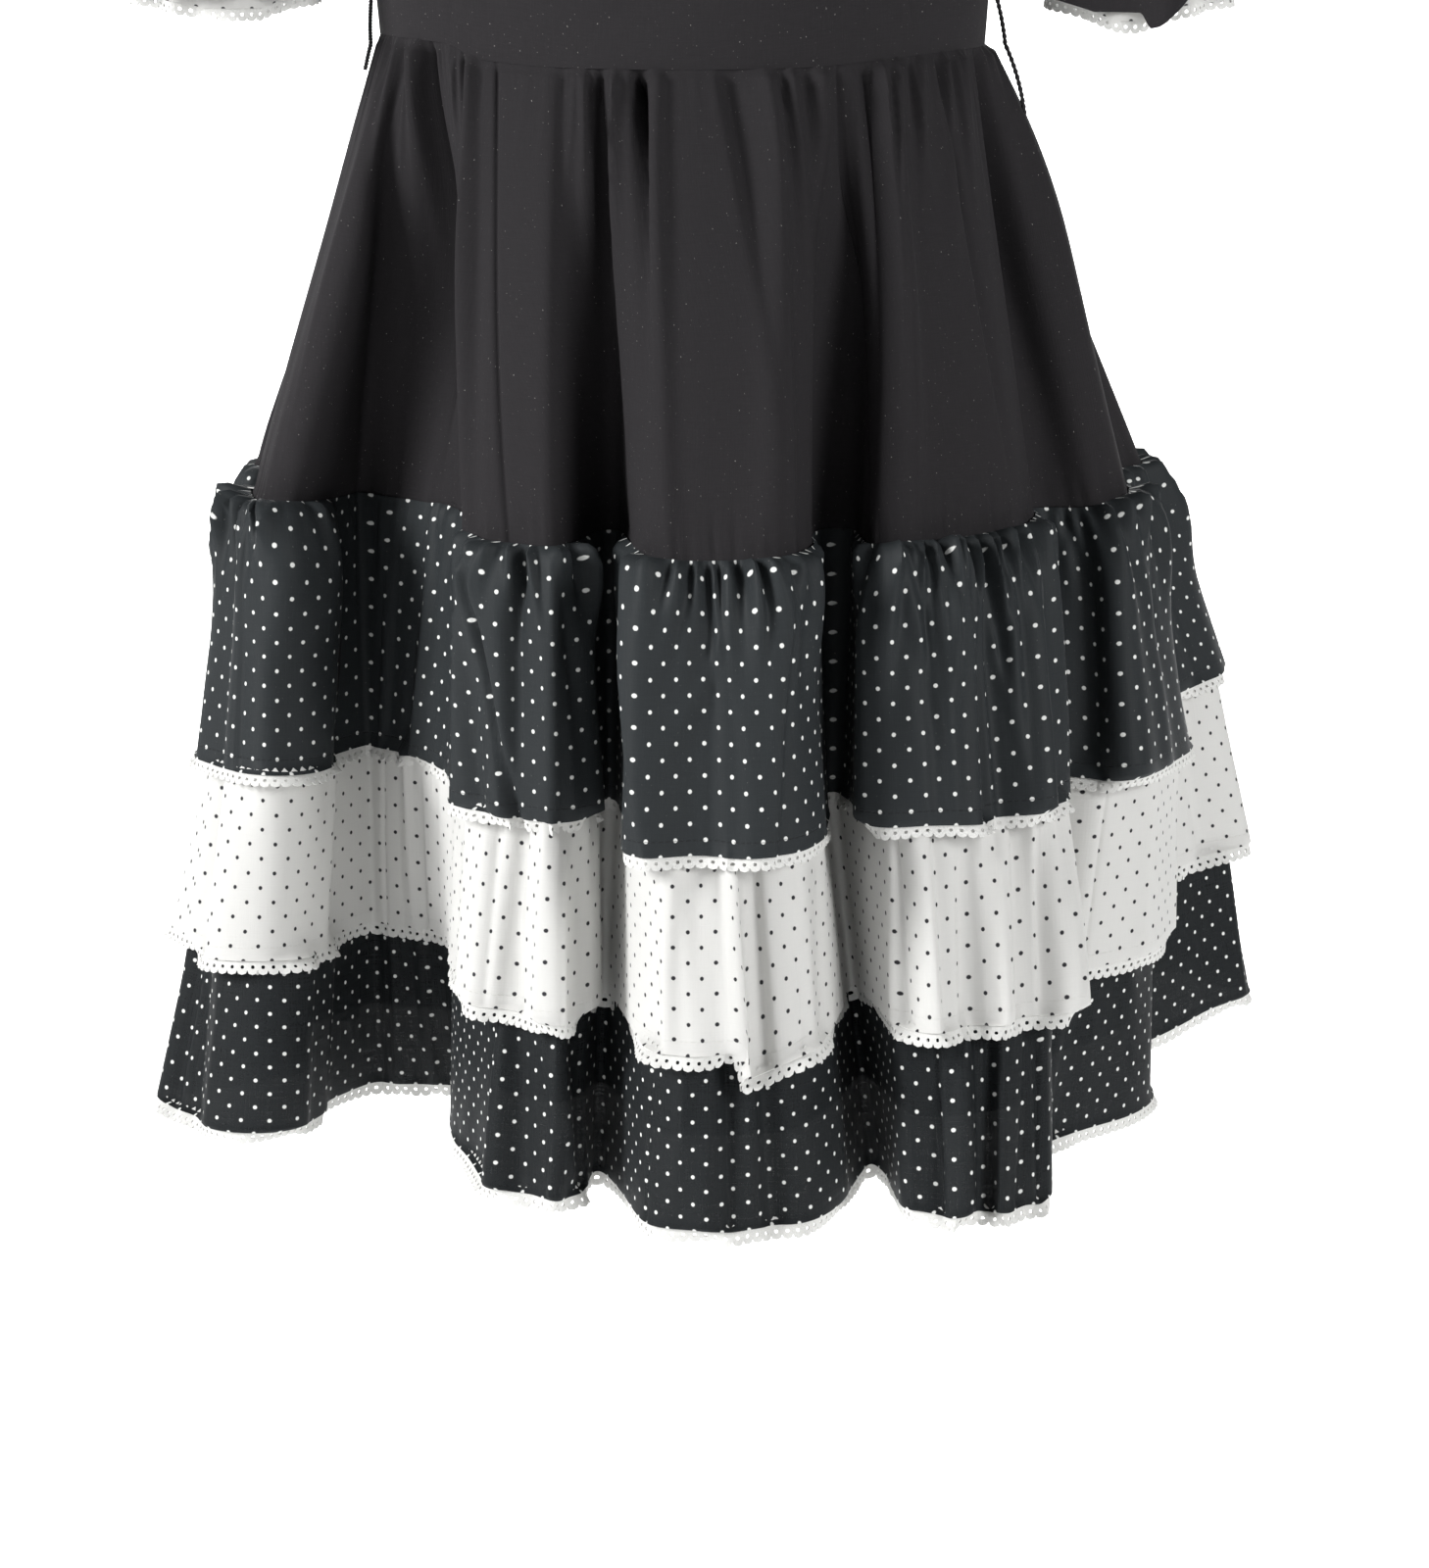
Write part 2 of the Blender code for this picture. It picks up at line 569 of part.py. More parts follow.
def ring_rows(rings, mirror, phase, inset):
    """Rows of a sleeve ruffle round the elbow."""
    circle = arm_circle(RUFFLE_COLUMNS, mirror)
    turn = np.arange(RUFFLE_COLUMNS) / RUFFLE_COLUMNS
    wave = np.cos(2.0 * np.pi * (SLEEVE_WAVES * turn + phase))
    rows = []
    for ring in rings:
        radius = ring.radius + ring.wave * wave - inset
        centre = np.array([mirror * ELBOW_X, ELBOW_Y, ring.z])
        rows.append(centre + circle * radius[:, None])
    return np.array(rows)


def add_ring_cloth(name, rings, mirror, phase, wall, material, inset=0.0):
    outer = ring_rows(rings, mirror, phase, inset)
    inner = ring_rows(rings, mirror, phase, inset + wall)
    if mirror > 0:
        outer, inner = outer[:, ::-1], inner[:, ::-1]
    add_wall(name, outer, inner, material, closed=True)


def add_sleeve(name, mirror, black, white, lace):
    outer, inner = sleeve_rows(mirror, 0.0), sleeve_rows(mirror, CLOTH)
    if mirror > 0:
        outer, inner = outer[:, ::-1], inner[:, ::-1]
    add_wall(f"sleeve_{name}", outer, inner, black, closed=True, shorter_split=True)
    add_ring_cloth(f"sleeve_ruffle_{name}", SLEEVE_RUFFLE, mirror, 0.0, THIN_CLOTH, black)
    add_ring_cloth(f"sleeve_under_ruffle_{name}", SLEEVE_UNDER_RUFFLE, mirror, 0.5, THIN_CLOTH, white)
    hem = SLEEVE_UNDER_RUFFLE[-1]
    edge = (hem._replace(z=hem.z - SEAM_GAP), hem._replace(z=hem.z - SLEEVE_LACE_DEPTH))
    add_ring_cloth(f"sleeve_lace_{name}", edge, mirror, 0.5, LACE_WALL, lace, inset=0.0001)


def add_belt_loop(name, mirror, black):
    """A slack carrier of twisted thread at the side seam."""
    curve = bpy.data.curves.new(name, "CURVE")
    curve.dimensions = "3D"
    curve.bevel_depth = LOOP_THREAD_RADIUS
    curve.bevel_resolution = 1
    curve.use_fill_caps = True
    spline = curve.splines.new("POLY")
    spline.points.add(LOOP_POINTS - 1)
    beside = WAIST_HALF_WIDTH + LOOP_THREAD_RADIUS + SEAM_GAP
    for index in range(LOOP_POINTS):
        share = index / (LOOP_POINTS - 1)
        rise = LOOP_TOP + (LOOP_BOTTOM - LOOP_TOP) * share
        flare = 0.0018 if rise > 0 else 0.0018 + 0.30 * -rise
        bow = LOOP_REACH * np.sin(np.pi * share)
        spline.points[index].co = (mirror * (beside + flare + bow), 0.0, WAIST_Z + rise, 1.0)
    curve.materials.append(black)
    bpy.context.scene.collection.objects.link(bpy.data.objects.new(name, curve))


def build_dress():
    clear_scene()
    black = make_material("black cloth", BLACK, 0.85)
    dotted_black = make_material("black dotted cloth", DOTTED_BLACK, 0.70)
    dotted_white = make_material("white dotted cloth", WHITE, 0.80)
    lace = make_material("white lace", LACE_WHITE, 0.85)
    add_bodice(black)
    add_skirt(black)
    for ruffle in RUFFLES:
        add_ruffle(ruffle, dotted_white if ruffle.name == "middle" else dotted_black, lace)
    for name, mirror in (("left", 1), ("right", -1)):
        add_sleeve(name, mirror, black, dotted_white, lace)
        add_belt_loop(f"belt_loop_{name}", mirror, black)


build_dress()
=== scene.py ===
# %% [markdown]
# # A square dance dress
#
# The dress has a fitted black bodice, elbow sleeves and a gored skirt. Three gathered ruffles, edged
# with white lace, make the skirt swing. This notebook loads the plain solids of the dress and lays a
# finer cloth over each: rounder folds, gathers, dots, weave, stitching and real lace loops.

# %% The plain solids
import math
from collections import namedtuple

import bpy
import numpy as np
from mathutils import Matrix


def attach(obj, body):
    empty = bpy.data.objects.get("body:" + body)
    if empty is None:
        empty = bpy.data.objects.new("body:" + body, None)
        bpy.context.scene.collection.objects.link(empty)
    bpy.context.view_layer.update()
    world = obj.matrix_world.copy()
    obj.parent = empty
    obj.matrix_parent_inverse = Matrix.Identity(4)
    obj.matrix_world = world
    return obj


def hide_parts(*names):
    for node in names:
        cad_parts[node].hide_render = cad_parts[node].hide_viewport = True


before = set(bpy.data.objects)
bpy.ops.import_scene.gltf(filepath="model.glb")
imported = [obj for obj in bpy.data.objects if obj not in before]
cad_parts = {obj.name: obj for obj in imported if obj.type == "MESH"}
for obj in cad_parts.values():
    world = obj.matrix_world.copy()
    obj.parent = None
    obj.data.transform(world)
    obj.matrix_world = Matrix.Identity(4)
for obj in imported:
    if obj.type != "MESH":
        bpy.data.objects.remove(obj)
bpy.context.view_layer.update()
print("solid pieces:", len(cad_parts))

# %% [markdown]
# The camera looks at the skirt from the front and a little from above, with a long lens, from
# about 1.8 metres away. The picture ends just above the waist, so the bodice is mostly out of view.

# %% The camera
WAIST_Z = -0.400
CAMERA_PLACE = (0.015, -1.8, WAIST_Z + 0.09)
CAMERA_DOWN = 14.0
CAMERA_LENS = 86.3
CAMERA_SENSOR = 36.0

bpy.ops.object.camera_add(location=CAMERA_PLACE, rotation=(math.radians(90.0 - CAMERA_DOWN), 0.0, 0.0))
camera = bpy.context.object
camera.data.lens = CAMERA_LENS
camera.data.sensor_width = CAMERA_SENSOR
bpy.context.scene.camera = camera
print("lens:", camera.data.lens, "mm")

# %% [markdown]
# The skirt is made from one table of big folds, in order round the waist. Each row gives the angle
# where a fold starts, how far it is tucked under its neighbour and the radii of its furrow and its
# crown, in degrees and millimetres. The solids were made from the same table, so the fine cloth lies
# on them.

# %% The big folds of the skirt
SEAM_DROP = 0.210
MIDDLE_TOP_DROP = 0.280
UPPER_HEM_DROP = 0.333
LOWER_TOP_DROP = 0.365
MIDDLE_HEM_DROP = 0.422
UNDERSKIRT_HEM_DROP = 0.465
LOWER_HEM_DROP = 0.505
WAIST_HALF_WIDTH = 0.142
WAIST_HALF_DEPTH = 0.105
# The waist seam hangs lower at the centre front, and has ridden up at the wearer's right
WAIST_DIP_FRONT = 0.006
WAIST_DIP_HALF_WIDTH = 0.100
WAIST_RISE_RIGHT = 0.0055
RISE_STARTS_X = -0.090
RISE_BLEND = 0.018
RISE_ENDS_Y = 0.040
DIP_GONE_BY = 0.08

Fold = namedtuple(
    "Fold",
    "name waves start_waist start start_hem tuck tuck_hem before after "
    "dip_seam dip_upper dip_hem crown_seam crown_upper crown_hem cant lift",
)
FOLDS = (
    Fold("right_side", 3, -99, -99, -94, 0, 0, 0.38, 0.22, 158, 176, 186, 207, 237, 256, -28, 0),
    Fold("right_recess", 2, -68, -65, -57, -20, -6, 1.00, 1.00, 156, 158, 160, 172, 170, 112, 0, 0),
    Fold("right_front", 3, -54, -43, -37, -2, -33, 0.32, 0.30, 138, 140, 116, 172, 182, 198, 16, 0),
    Fold("front", 3, -17, -8, -8, -7, 0, 0.18, 0.32, 116, 128, 152, 198, 224, 224, 0, -3),
    Fold("left_front", 4, 40, 22, 24, 10, 0, 0.15, 0.24, 136, 128, 162, 188, 230, 258, 12, 3),
    Fold("left_side", 2, 78, 66, 43, 5, 6, 0.30, 0.30, 176, 186, 197, 210, 244, 226, 28, 0),
    Fold("left_flare", 3, 99, 96, 95, 2, 0, 0.32, 0.32, 186, 215, 225, 240, 290, 306, 0, 14),
    Fold("left_back", 3, 127, 127, 127, 0, 0, 0.36, 0.36, 176, 192, 200, 226, 254, 266, 0, 0),
    Fold("back_left", 3, 157, 157, 157, 0, 0, 0.36, 0.36, 150, 172, 182, 214, 246, 260, 0, 0),
    Fold("back_right", 3, 187, 187, 187, 0, 0, 0.36, 0.36, 152, 170, 180, 218, 250, 262, 0, 0),
    Fold("right_back", 3, 215, 215, 215, 0, 0, 0.36, 0.36, 158, 176, 186, 228, 252, 264, 0, 0),
    Fold("right_flare", 3, 239, 239, 241, 0, 0, 0.34, 0.34, 172, 186, 194, 226, 244, 256, 0, 4),
)
FOLD_LEVELS = (SEAM_DROP, UPPER_HEM_DROP, LOWER_HEM_DROP)
CROWN_STANDS = (0.0015, 0.018, 0.011)
DIP_STANDS = (0.0015, 0.0045, 0.003)
LEVEL_DROPS = (0.0, 0.030, 0.080, 0.145, SEAM_DROP, MIDDLE_TOP_DROP, UPPER_HEM_DROP, LOWER_TOP_DROP,
               MIDDLE_HEM_DROP, UNDERSKIRT_HEM_DROP, LOWER_HEM_DROP, 0.520)
WAVES = sum(fold.waves for fold in FOLDS)
RIB_STEP = 0.5
LEAST_SPREAD = 0.62
CANT_AT_SEAM = 0.35
FLARE_POWER = 0.95
PUFF_POWER = 4
print("waves round the skirt:", WAVES)

# %% [markdown]
# A place on the skirt has two numbers. One is counted in waves round the waist. The other is the drop
# below the waist seam. These functions turn them into a line in plan: out to the crown of each fold
# and back into its furrow.

# %% The line of the folds


def ease(x):
    """A smooth step from 0 to 1."""
    x = np.clip(x, 0.0, 1.0)
    return x * x * (3.0 - 2.0 * x)


def column(name):
    return np.array([getattr(fold, name) for fold in FOLDS], float)


FOLD_STARTS = np.concatenate([[0.0], np.cumsum(column("waves"))])


def place_in_fold(cloth):
    """The fold that each place lies on, and how far across it that is."""
    cloth = np.asarray(cloth, float) % WAVES
    fold = np.searchsorted(FOLD_STARTS, cloth, side="right") - 1
    return fold, (cloth - FOLD_STARTS[fold]) / column("waves")[fold]


def flanks(fold, across):
    first = ease(across / column("before")[fold])
    last = ease((1.0 - across) / column("after")[fold])
    return first, last


def crown_share(cloth):
    """1 on the crown of a fold and 0 on the floor of a furrow."""
    first, last = flanks(*place_in_fold(cloth))
    return first * last


def radii(kind, stands, drop):
    levels = [column(f"{kind}_{end}") / 1000 - stand for end, stand in zip(("seam", "upper", "hem"), stands)]
    return np.array([np.interp(drop, FOLD_LEVELS, row) for row in zip(*levels)])


def waist_radius(angle):
    across, forward = np.sin(angle) / WAIST_HALF_WIDTH, np.cos(angle) / WAIST_HALF_DEPTH
    return 1.0 / np.hypot(across, forward) - CROWN_STANDS[0]


def fold_line(cloth, drop):
    """Plan of the innermost cloth at this drop."""
    fold, across = place_in_fold(cloth)
    following = (fold + 1) % len(FOLDS)
    grown = np.clip(drop / SEAM_DROP, 0.0, 1.0)
    lower = np.clip((drop - SEAM_DROP) / (LOWER_HEM_DROP - SEAM_DROP), 0.0, 1.0)
    starts = column("start_waist") + (column("start") - column("start_waist")) * grown
    starts = starts + (column("start_hem") - column("start")) * lower
    tucks = column("tuck") * grown + column("tuck_hem") * lower
    first, last = flanks(fold, across)
    turn = starts[following] + np.where(following == 0, 360.0, 0.0) - starts[fold]
    degrees = starts[fold] + turn * across
    degrees = degrees + tucks[fold] * (1.0 - first) + tucks[following] * (1.0 - last)
    angle = np.radians(degrees)
    dips = radii("dip", DIP_STANDS, drop)
    dip = dips[fold] + (dips[following] - dips[fold]) * ease(across)
    cant = column("cant")[fold] / 1000 * (2.0 * across - 1.0)
    cant = cant * (CANT_AT_SEAM + (1.0 - CANT_AT_SEAM) * lower)
    reach = dip + (radii("crown", CROWN_STANDS, drop)[fold] + cant - dip) * first * last
    waist = waist_radius(angle)
    radius = waist + (reach - waist) * grown**FLARE_POWER
    return np.stack([radius * np.sin(angle), -radius * np.cos(angle)], -1)

# %% [markdown]
# Each layer of cloth stands off the innermost one: a little in the furrows and more on the crowns,
# where it puffs out in short waves. The waist seam dips in front, and some folds carry their hems
# higher. A row of a layer puts all this together at one drop.

# %% Standing off the line
def unit(vectors):
    return vectors / np.maximum(np.linalg.norm(vectors, axis=-1, keepdims=True), 1e-12)


def outward(cloth, drop):
    """How the line moves for each metre that a face stands off it."""
    here = fold_line(cloth, drop)
    before = unit(here - fold_line(cloth - RIB_STEP, drop))
    after = unit(fold_line(cloth + RIB_STEP, drop) - here)
    along = unit(before + after)
    spread = np.clip((along * before).sum(axis=-1), LEAST_SPREAD, 1.0)
    return np.stack([along[..., 1], -along[..., 0]], -1) / spread[..., None]


def between_ribs(field, cloth, drop):
    low = np.floor(cloth / RIB_STEP + 1e-6) * RIB_STEP
    share = ((cloth - low) / RIB_STEP)[..., None]
    return field(low, drop) * (1.0 - share) + field(low + RIB_STEP, drop) * share


def between_levels(field, cloth, drop):
    upper = max(level for level in LEVEL_DROPS if level <= drop)
    lower = min(level for level in LEVEL_DROPS if level > drop)
    share = (drop - upper) / (lower - upper)
    return between_ribs(field, cloth, upper) * (1.0 - share) + between_ribs(field, cloth, lower) * share


def waist_seam_dip(x, y):
    """How much lower the waist seam is here than at the back."""
    forward = np.clip(-y / WAIST_HALF_DEPTH, 0.0, 1.0)
    ridden = WAIST_RISE_RIGHT * ease((RISE_STARTS_X - x) / RISE_BLEND) * ease((RISE_ENDS_Y - y) / RISE_ENDS_Y)
    return WAIST_DIP_FRONT * forward * ease(1.5 - np.abs(x) / WAIST_DIP_HALF_WIDTH) - ridden


def hem_lift(cloth, drop):
    share = np.clip((drop - SEAM_DROP) / (UPPER_HEM_DROP - SEAM_DROP), 0.0, 1.0)
    fold, _ = place_in_fold(cloth)
    return column("lift")[fold] / 1000 * crown_share(cloth) * share


# One row of a layer: its drop, how far it stands off in furrows and on crowns, and its short waves
Section = namedtuple("Section", "drop stand_dip stand_crown wave")


def cloth_row(section, cloth, phase):
    """Points of one row of a layer, at its outer face, and how far each stands off the innermost cloth."""
    puff = crown_share(cloth) ** PUFF_POWER
    wave = -np.cos(2.0 * np.pi * (cloth + phase)) * section.wave
    stand = section.stand_dip + (section.stand_crown - section.stand_dip + wave) * puff
    plan = between_levels(fold_line, cloth, section.drop)
    plan = plan + stand[:, None] * between_levels(outward, cloth, section.drop)
    height = WAIST_Z - section.drop + hem_lift(cloth, section.drop)
    dip = waist_seam_dip(plan[:, 0], plan[:, 1]) * (1.0 - np.clip(section.drop / DIP_GONE_BY, 0.0, 1.0))
    return np.column_stack([plan, height - dip, stand])


# %% [markdown]
# Real cloth has no corners, so the coarse rows are only a net of control points. A B-spline rounds
# them along the cloth, and a smooth curve joins the rows from top to bottom. The net runs all the
# way round the skirt, so the pieces that share it meet at their seams.

# %% Rounding the folds
NET_STEP = 0.25


def spline_round(net, cloth):
    """A cubic B-spline round a closed row of control points, for every row of the net at once."""
    place = np.asarray(cloth, float) / NET_STEP
    low = np.floor(place).astype(int)
    t = (place - low)[None, :, None]
    weights = (
        (1.0 - t) ** 3 / 6.0,
        (3.0 * t**3 - 6.0 * t**2 + 4.0) / 6.0,
        (-3.0 * t**3 + 3.0 * t**2 + 3.0 * t + 1.0) / 6.0,
        t**3 / 6.0,
    )
    count = net.shape[1]
    return sum(weight * net[:, (low + step) % count] for step, weight in zip((-1, 0, 1, 2), weights))


def rows_between(drops, rows, wanted):
    """Smooth rows at the wanted drops, through the given ones."""
    drops, wanted = np.asarray(drops, float), np.asarray(wanted, float)
    slopes = np.gradient(rows, drops, axis=0)
    low = np.clip(np.searchsorted(drops, wanted, side="right") - 1, 0, len(drops) - 2)
    step = drops[low + 1] - drops[low]
    t = ((wanted - drops[low]) / step)[:, None, None]
    step = step[:, None, None]
    return (
        (2 * t**3 - 3 * t**2 + 1) * rows[low]
        + (t**3 - 2 * t**2 + t) * step * slopes[low]
        + (3 * t**2 - 2 * t**3) * rows[low + 1]
        + (t**3 - t**2) * step * slopes[low + 1]
    )


def layer_net(sections, phase):
    """Control points of a whole layer: one row for each of its sections."""
    places = np.arange(0.0, WAVES, NET_STEP)
    return np.array([cloth_row(section, places, phase) for section in sections])


def layer_points(net, sections, cloth, drops):
    """Points of a layer, and how far each stands off the innermost cloth."""
    rows = rows_between([section.drop for section in sections], spline_round(net, cloth), drops)
    return rows[..., :3], rows[..., 3]


# %% [markdown]
# Gathers are small ridges that start at a stitched seam and fade out below it. Soft folds are wider
# and run on to the hem. Both come from lists of ridges, each with its own place, width, height, length
# and slant, so that no two are alike. A ridge that leans is steep on one side, as the edge of a pleat
# is. A minus height makes a furrow. Places and widths are in waves, heights, reaches and starts in
# metres, and slant and spread in waves for each metre down.

# %% Gathers and soft folds
Ridge = namedtuple("Ridge", "at width height reach slant spread lean start", defaults=(0.0, 0.0, 0.0, 0.0))
SPACING_CHANCE = (0.6, 1.4)
# How far along its rise a ridge already is where it starts
RISEN_AT_START = 0.35


def scattered_ridges(seed, start, end, spacing, width, height, reach, spread, slant=0.0, lean=0.0):
    """Ridges about spacing apart. width, height and reach are (lowest, highest) pairs."""
    chance = np.random.default_rng(seed)
    ridges = []
    at = start + spacing * chance.uniform(0.0, 1.0)
    while at < end:
        sizes = [chance.uniform(*limits) for limits in (width, height, reach, (-slant, slant), (-lean, lean))]
        ridges.append(Ridge(at, *sizes[:4], spread, sizes[4]))
        at += spacing * chance.uniform(*SPACING_CHANCE)
    return ridges


def ridge_heights(ridges, cloth, depths, rise):
    """How far the ridges lift the cloth. cloth in waves, depths in metres below the top edge."""
    depth = np.asarray(depths)[:, None]
    cloth = np.broadcast_to(cloth, (len(depth), np.shape(cloth)[-1]))
    lift = np.zeros(cloth.shape)
    for ridge in ridges:
        below = np.clip(depth - ridge.start, 0.0, None)
        beside = (cloth - ridge.at - ridge.slant * below + WAVES / 2) % WAVES - WAVES / 2
        side = np.where(beside < 0.0, 1.0 - ridge.lean, 1.0 + ridge.lean)
        width = (ridge.width + ridge.spread * below) * side
        along = ease((depth - ridge.start) / rise + RISEN_AT_START) * np.exp(-((below / ridge.reach) ** 2))
        lift += ridge.height * np.exp(-((beside / width) ** 2)) * along
    return lift


def normals_of(points, rings=False):
    """Outward directions of a grid whose rows follow each other downwards. Rings are rows that close."""
    if rings:
        wide = np.concatenate([points[:, -2:], points, points[:, :2]], axis=1)
        return normals_of(wide)[:, 2:-2]
    down = np.gradient(points, axis=0)
    along = np.gradient(points, axis=1)
    return unit(np.cross(down, along))


def raised(points, lift, rings=False):
    """The grid, moved out by the lift."""
    return points + np.asarray(lift)[..., None] * normals_of(points, rings)


# %% [markdown]
# Each cut piece becomes a thin closed shell. Its outer face is a grid of points, its inner face lies
# half a millimetre behind, and the rim closes the edges. The shell carries a map called cut: the
# metres along and up the flat cloth, which the dots and the weave follow.

# %% Making a shell of cloth
SHELL = 0.0005
CREASE_DEGREES = 70.0


def grid_quads(rows, columns, rings):
    spans = columns if rings else columns - 1
    row, place = np.meshgrid(np.arange(rows - 1), np.arange(spans), indexing="ij")
    beside = (place + 1) % columns
    upper, lower = row * columns, (row + 1) * columns
    return np.stack([upper + place, lower + place, lower + beside, upper + beside], -1).reshape(-1, 4)


def rim_quads(rows, columns, rings):
    """Quads that join the outer face's edge to the inner face's."""
    count = rows * columns
    spans = columns if rings else columns - 1
    place = np.arange(spans)
    beside = (place + 1) % columns
    low = (rows - 1) * columns
    upper = (place, beside, count + beside, count + place)
    lower = (low + beside, low + place, count + low + place, count + low + beside)
    rims = [np.stack(upper, -1), np.stack(lower, -1)]
    if not rings:
        near = np.arange(rows - 1) * columns
        below = near + columns
        rims.append(np.stack([near, count + near, count + below, below], -1))
        far, under = near + columns - 1, below + columns - 1
        rims.append(np.stack([far, under, count + under, count + far], -1))
    return np.concatenate(rims)


def new_piece(name, points, faces, cloth, crease=180.0):
    """A smooth mesh object. Edges that turn by more than the crease angle stay crisp."""
    mesh = bpy.data.meshes.new(name)
    mesh.from_pydata(points.tolist(), [], faces)
    mesh.shade_smooth()
    if crease < 180.0:
        mesh.set_sharp_from_angle(angle=math.radians(crease))
    mesh.materials.append(cloth.material)
    piece = bpy.data.objects.new(name, mesh)
    bpy.context.scene.collection.objects.link(piece)
    return piece


def cloth_shell(name, points, across, up, cloth, rings):
    """A shell from a grid of outer points. across and up are its places on the flat cloth."""
    rows, columns = points.shape[:2]
    corners = np.concatenate([points.reshape(-1, 3), raised(points, -SHELL, rings).reshape(-1, 3)])
    face = grid_quads(rows, columns, rings)
    faces = np.concatenate([face, face[:, ::-1] + rows * columns, rim_quads(rows, columns, rings)])
    piece = new_piece(name, corners, faces.tolist(), cloth, CREASE_DEGREES)
    flat = np.stack([np.broadcast_to(values, (rows, columns)) for values in (across, up)], -1)
    flat = np.concatenate([flat.reshape(-1, 2)] * 2)
    corner_of = np.empty(len(piece.data.loops), dtype=np.int32)
    piece.data.loops.foreach_get("vertex_index", corner_of)
    cut = piece.data.uv_layers.new(name="cut")
    cut.data.foreach_set("uv", flat[corner_of].astype(np.float32).ravel())
    return piece


def arc_lengths(row):
    steps = np.linalg.norm(np.diff(row, axis=0), axis=1)
    return np.concatenate([[0.0], np.cumsum(steps)])


def sheet_area(points):
    """Area of a grid's outer face in square metres."""
    first = np.cross(points[1:, :-1] - points[:-1, :-1], points[:-1, 1:] - points[:-1, :-1])
    second = np.cross(points[1:, :-1] - points[1:, 1:], points[:-1, 1:] - points[1:, 1:])
    return float((np.linalg.norm(first, axis=-1) + np.linalg.norm(second, axis=-1)).sum() / 2)


def stand_for(piece, node):
    """Hangs a piece under the root and hides the solid it takes the place of."""
    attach(piece, "root")
    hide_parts(node)


def lay_cloth(node, points, across, up, cloth, flat, area=None, rings=False):
    """Makes one cut piece. flat, its width and length before it is sewn, is not used."""
    piece = cloth_shell(f"{node}_cloth", points, across, up, cloth, rings)
    stand_for(piece, node)
    flat = tuple(float(size) for size in flat)
    if area is not None:
        # a cut piece is never larger than the cloth it was cut from
        area = min(area, 0.999 * flat[0] * flat[1])


# %% [markdown]
# Shader sums read best as sums. Number wraps a socket, so that 1 - mask or u / pitch adds the Math
# node it needs. Finish makes a material and every other node.

# %% Writing shader sums


class Number:
    """One value in a material, which sums can be written with."""

    def __init__(self, finish, socket):
        self.finish = finish
        self.socket = socket

    def __add__(self, other):
        return self.finish.math("ADD", self, other)

    __radd__ = __add__

    def __sub__(self, other):
        return self.finish.math("SUBTRACT", self, other)

    def __rsub__(self, other):
        return self.finish.math("SUBTRACT", other, self)

    def __mul__(self, other):
        return self.finish.math("MULTIPLY", self, other)

    __rmul__ = __mul__

    def __truediv__(self, other):
        return self.finish.math("DIVIDE", self, other)

    def fraction(self):
        return self.finish.math("FRACT", self)

    def root(self):
        return self.finish.math("SQRT", self)

    def size(self):
        return self.finish.math("ABSOLUTE", self)

    def least(self, other):
        return self.finish.math("MINIMUM", self, other)

    def most(self, other):
        return self.finish.math("MAXIMUM", self, other)

    def clamped(self):
        return self.most(0.0).least(1.0)


class Finish:
    """A material and the nodes that are added to it."""

    def __init__(self, name, **sockets):
        self.material = bpy.data.materials.new(name)
        self.material.use_nodes = True
        self.tree = self.material.node_tree
        self.shader = self.tree.nodes["Principled BSDF"]
        self.output = self.tree.nodes["Material Output"]
        self.set(**sockets)

    def set(self, **sockets):
        """Values of the shader itself, such as Base_Color."""
        self.feed(self.shader, {words.replace("_", " "): value for words, value in sockets.items()})

    def feed(self, node, sockets):
        for key, value in sockets.items():
            if isinstance(value, Number):
                self.tree.links.new(value.socket, node.inputs[key])
            else:
                node.inputs[key].default_value = value

    def node(self, kind, settings=None, sockets=None):
        node = self.tree.nodes.new(kind)
        for key, value in (settings or {}).items():
            setattr(node, key, value)
        self.feed(node, sockets or {})
        return node

    def take(self, node, name):
        return Number(self, node.outputs[name])

    def math(self, operation, *values):
        node = self.node("ShaderNodeMath", {"operation": operation}, dict(enumerate(values)))
        return self.take(node, 0)

    def mix(self, share, first, second):
        """A colour between two others."""
        node = self.node("ShaderNodeMix", {"data_type": "RGBA"}, {0: share, 6: first, 7: second})
        return self.take(node, 2)

    def noise(self, place, scale, detail=2.0, roughness=0.5):
        sockets = {"Vector": place, "Scale": scale, "Detail": detail, "Roughness": roughness}
        return self.take(self.node("ShaderNodeTexNoise", {}, sockets), 0)

    def cut_place(self):
        """Metres along and up the flat cloth."""
        place = self.take(self.node("ShaderNodeUVMap", {"uv_map": "cut"}), "UV")
        parts = self.node("ShaderNodeSeparateXYZ", {}, {"Vector": place})
        return self.take(parts, "X"), self.take(parts, "Y")

    def vector(self, x, y, z=0.0):
        return self.take(self.node("ShaderNodeCombineXYZ", {}, {"X": x, "Y": y, "Z": z}), 0)

    def object_place(self):
        return self.take(self.node("ShaderNodeTexCoord"), "Object")

    def bump(self, height, distance, strength=1.0):
        node = self.node("ShaderNodeBump", {}, {"Height": height, "Distance": distance, "Strength": strength})
        self.set(Normal=self.take(node, 0))


Cloth = namedtuple("Cloth", "material slot")


# %% [markdown]
# All the cloths here are plain weaves. Some threads are thicker than others, and those slubs show as
# fine streaks along and across the cloth. Lint is a thin scatter of pale specks, most of all on the
# plain black cloth.

# %% Weave, lint and dots
LINT_LEVEL = 0.785
LINT_PATCHES = 0.08
LINT_EDGE = 14.0
RAGGED = 0.00030


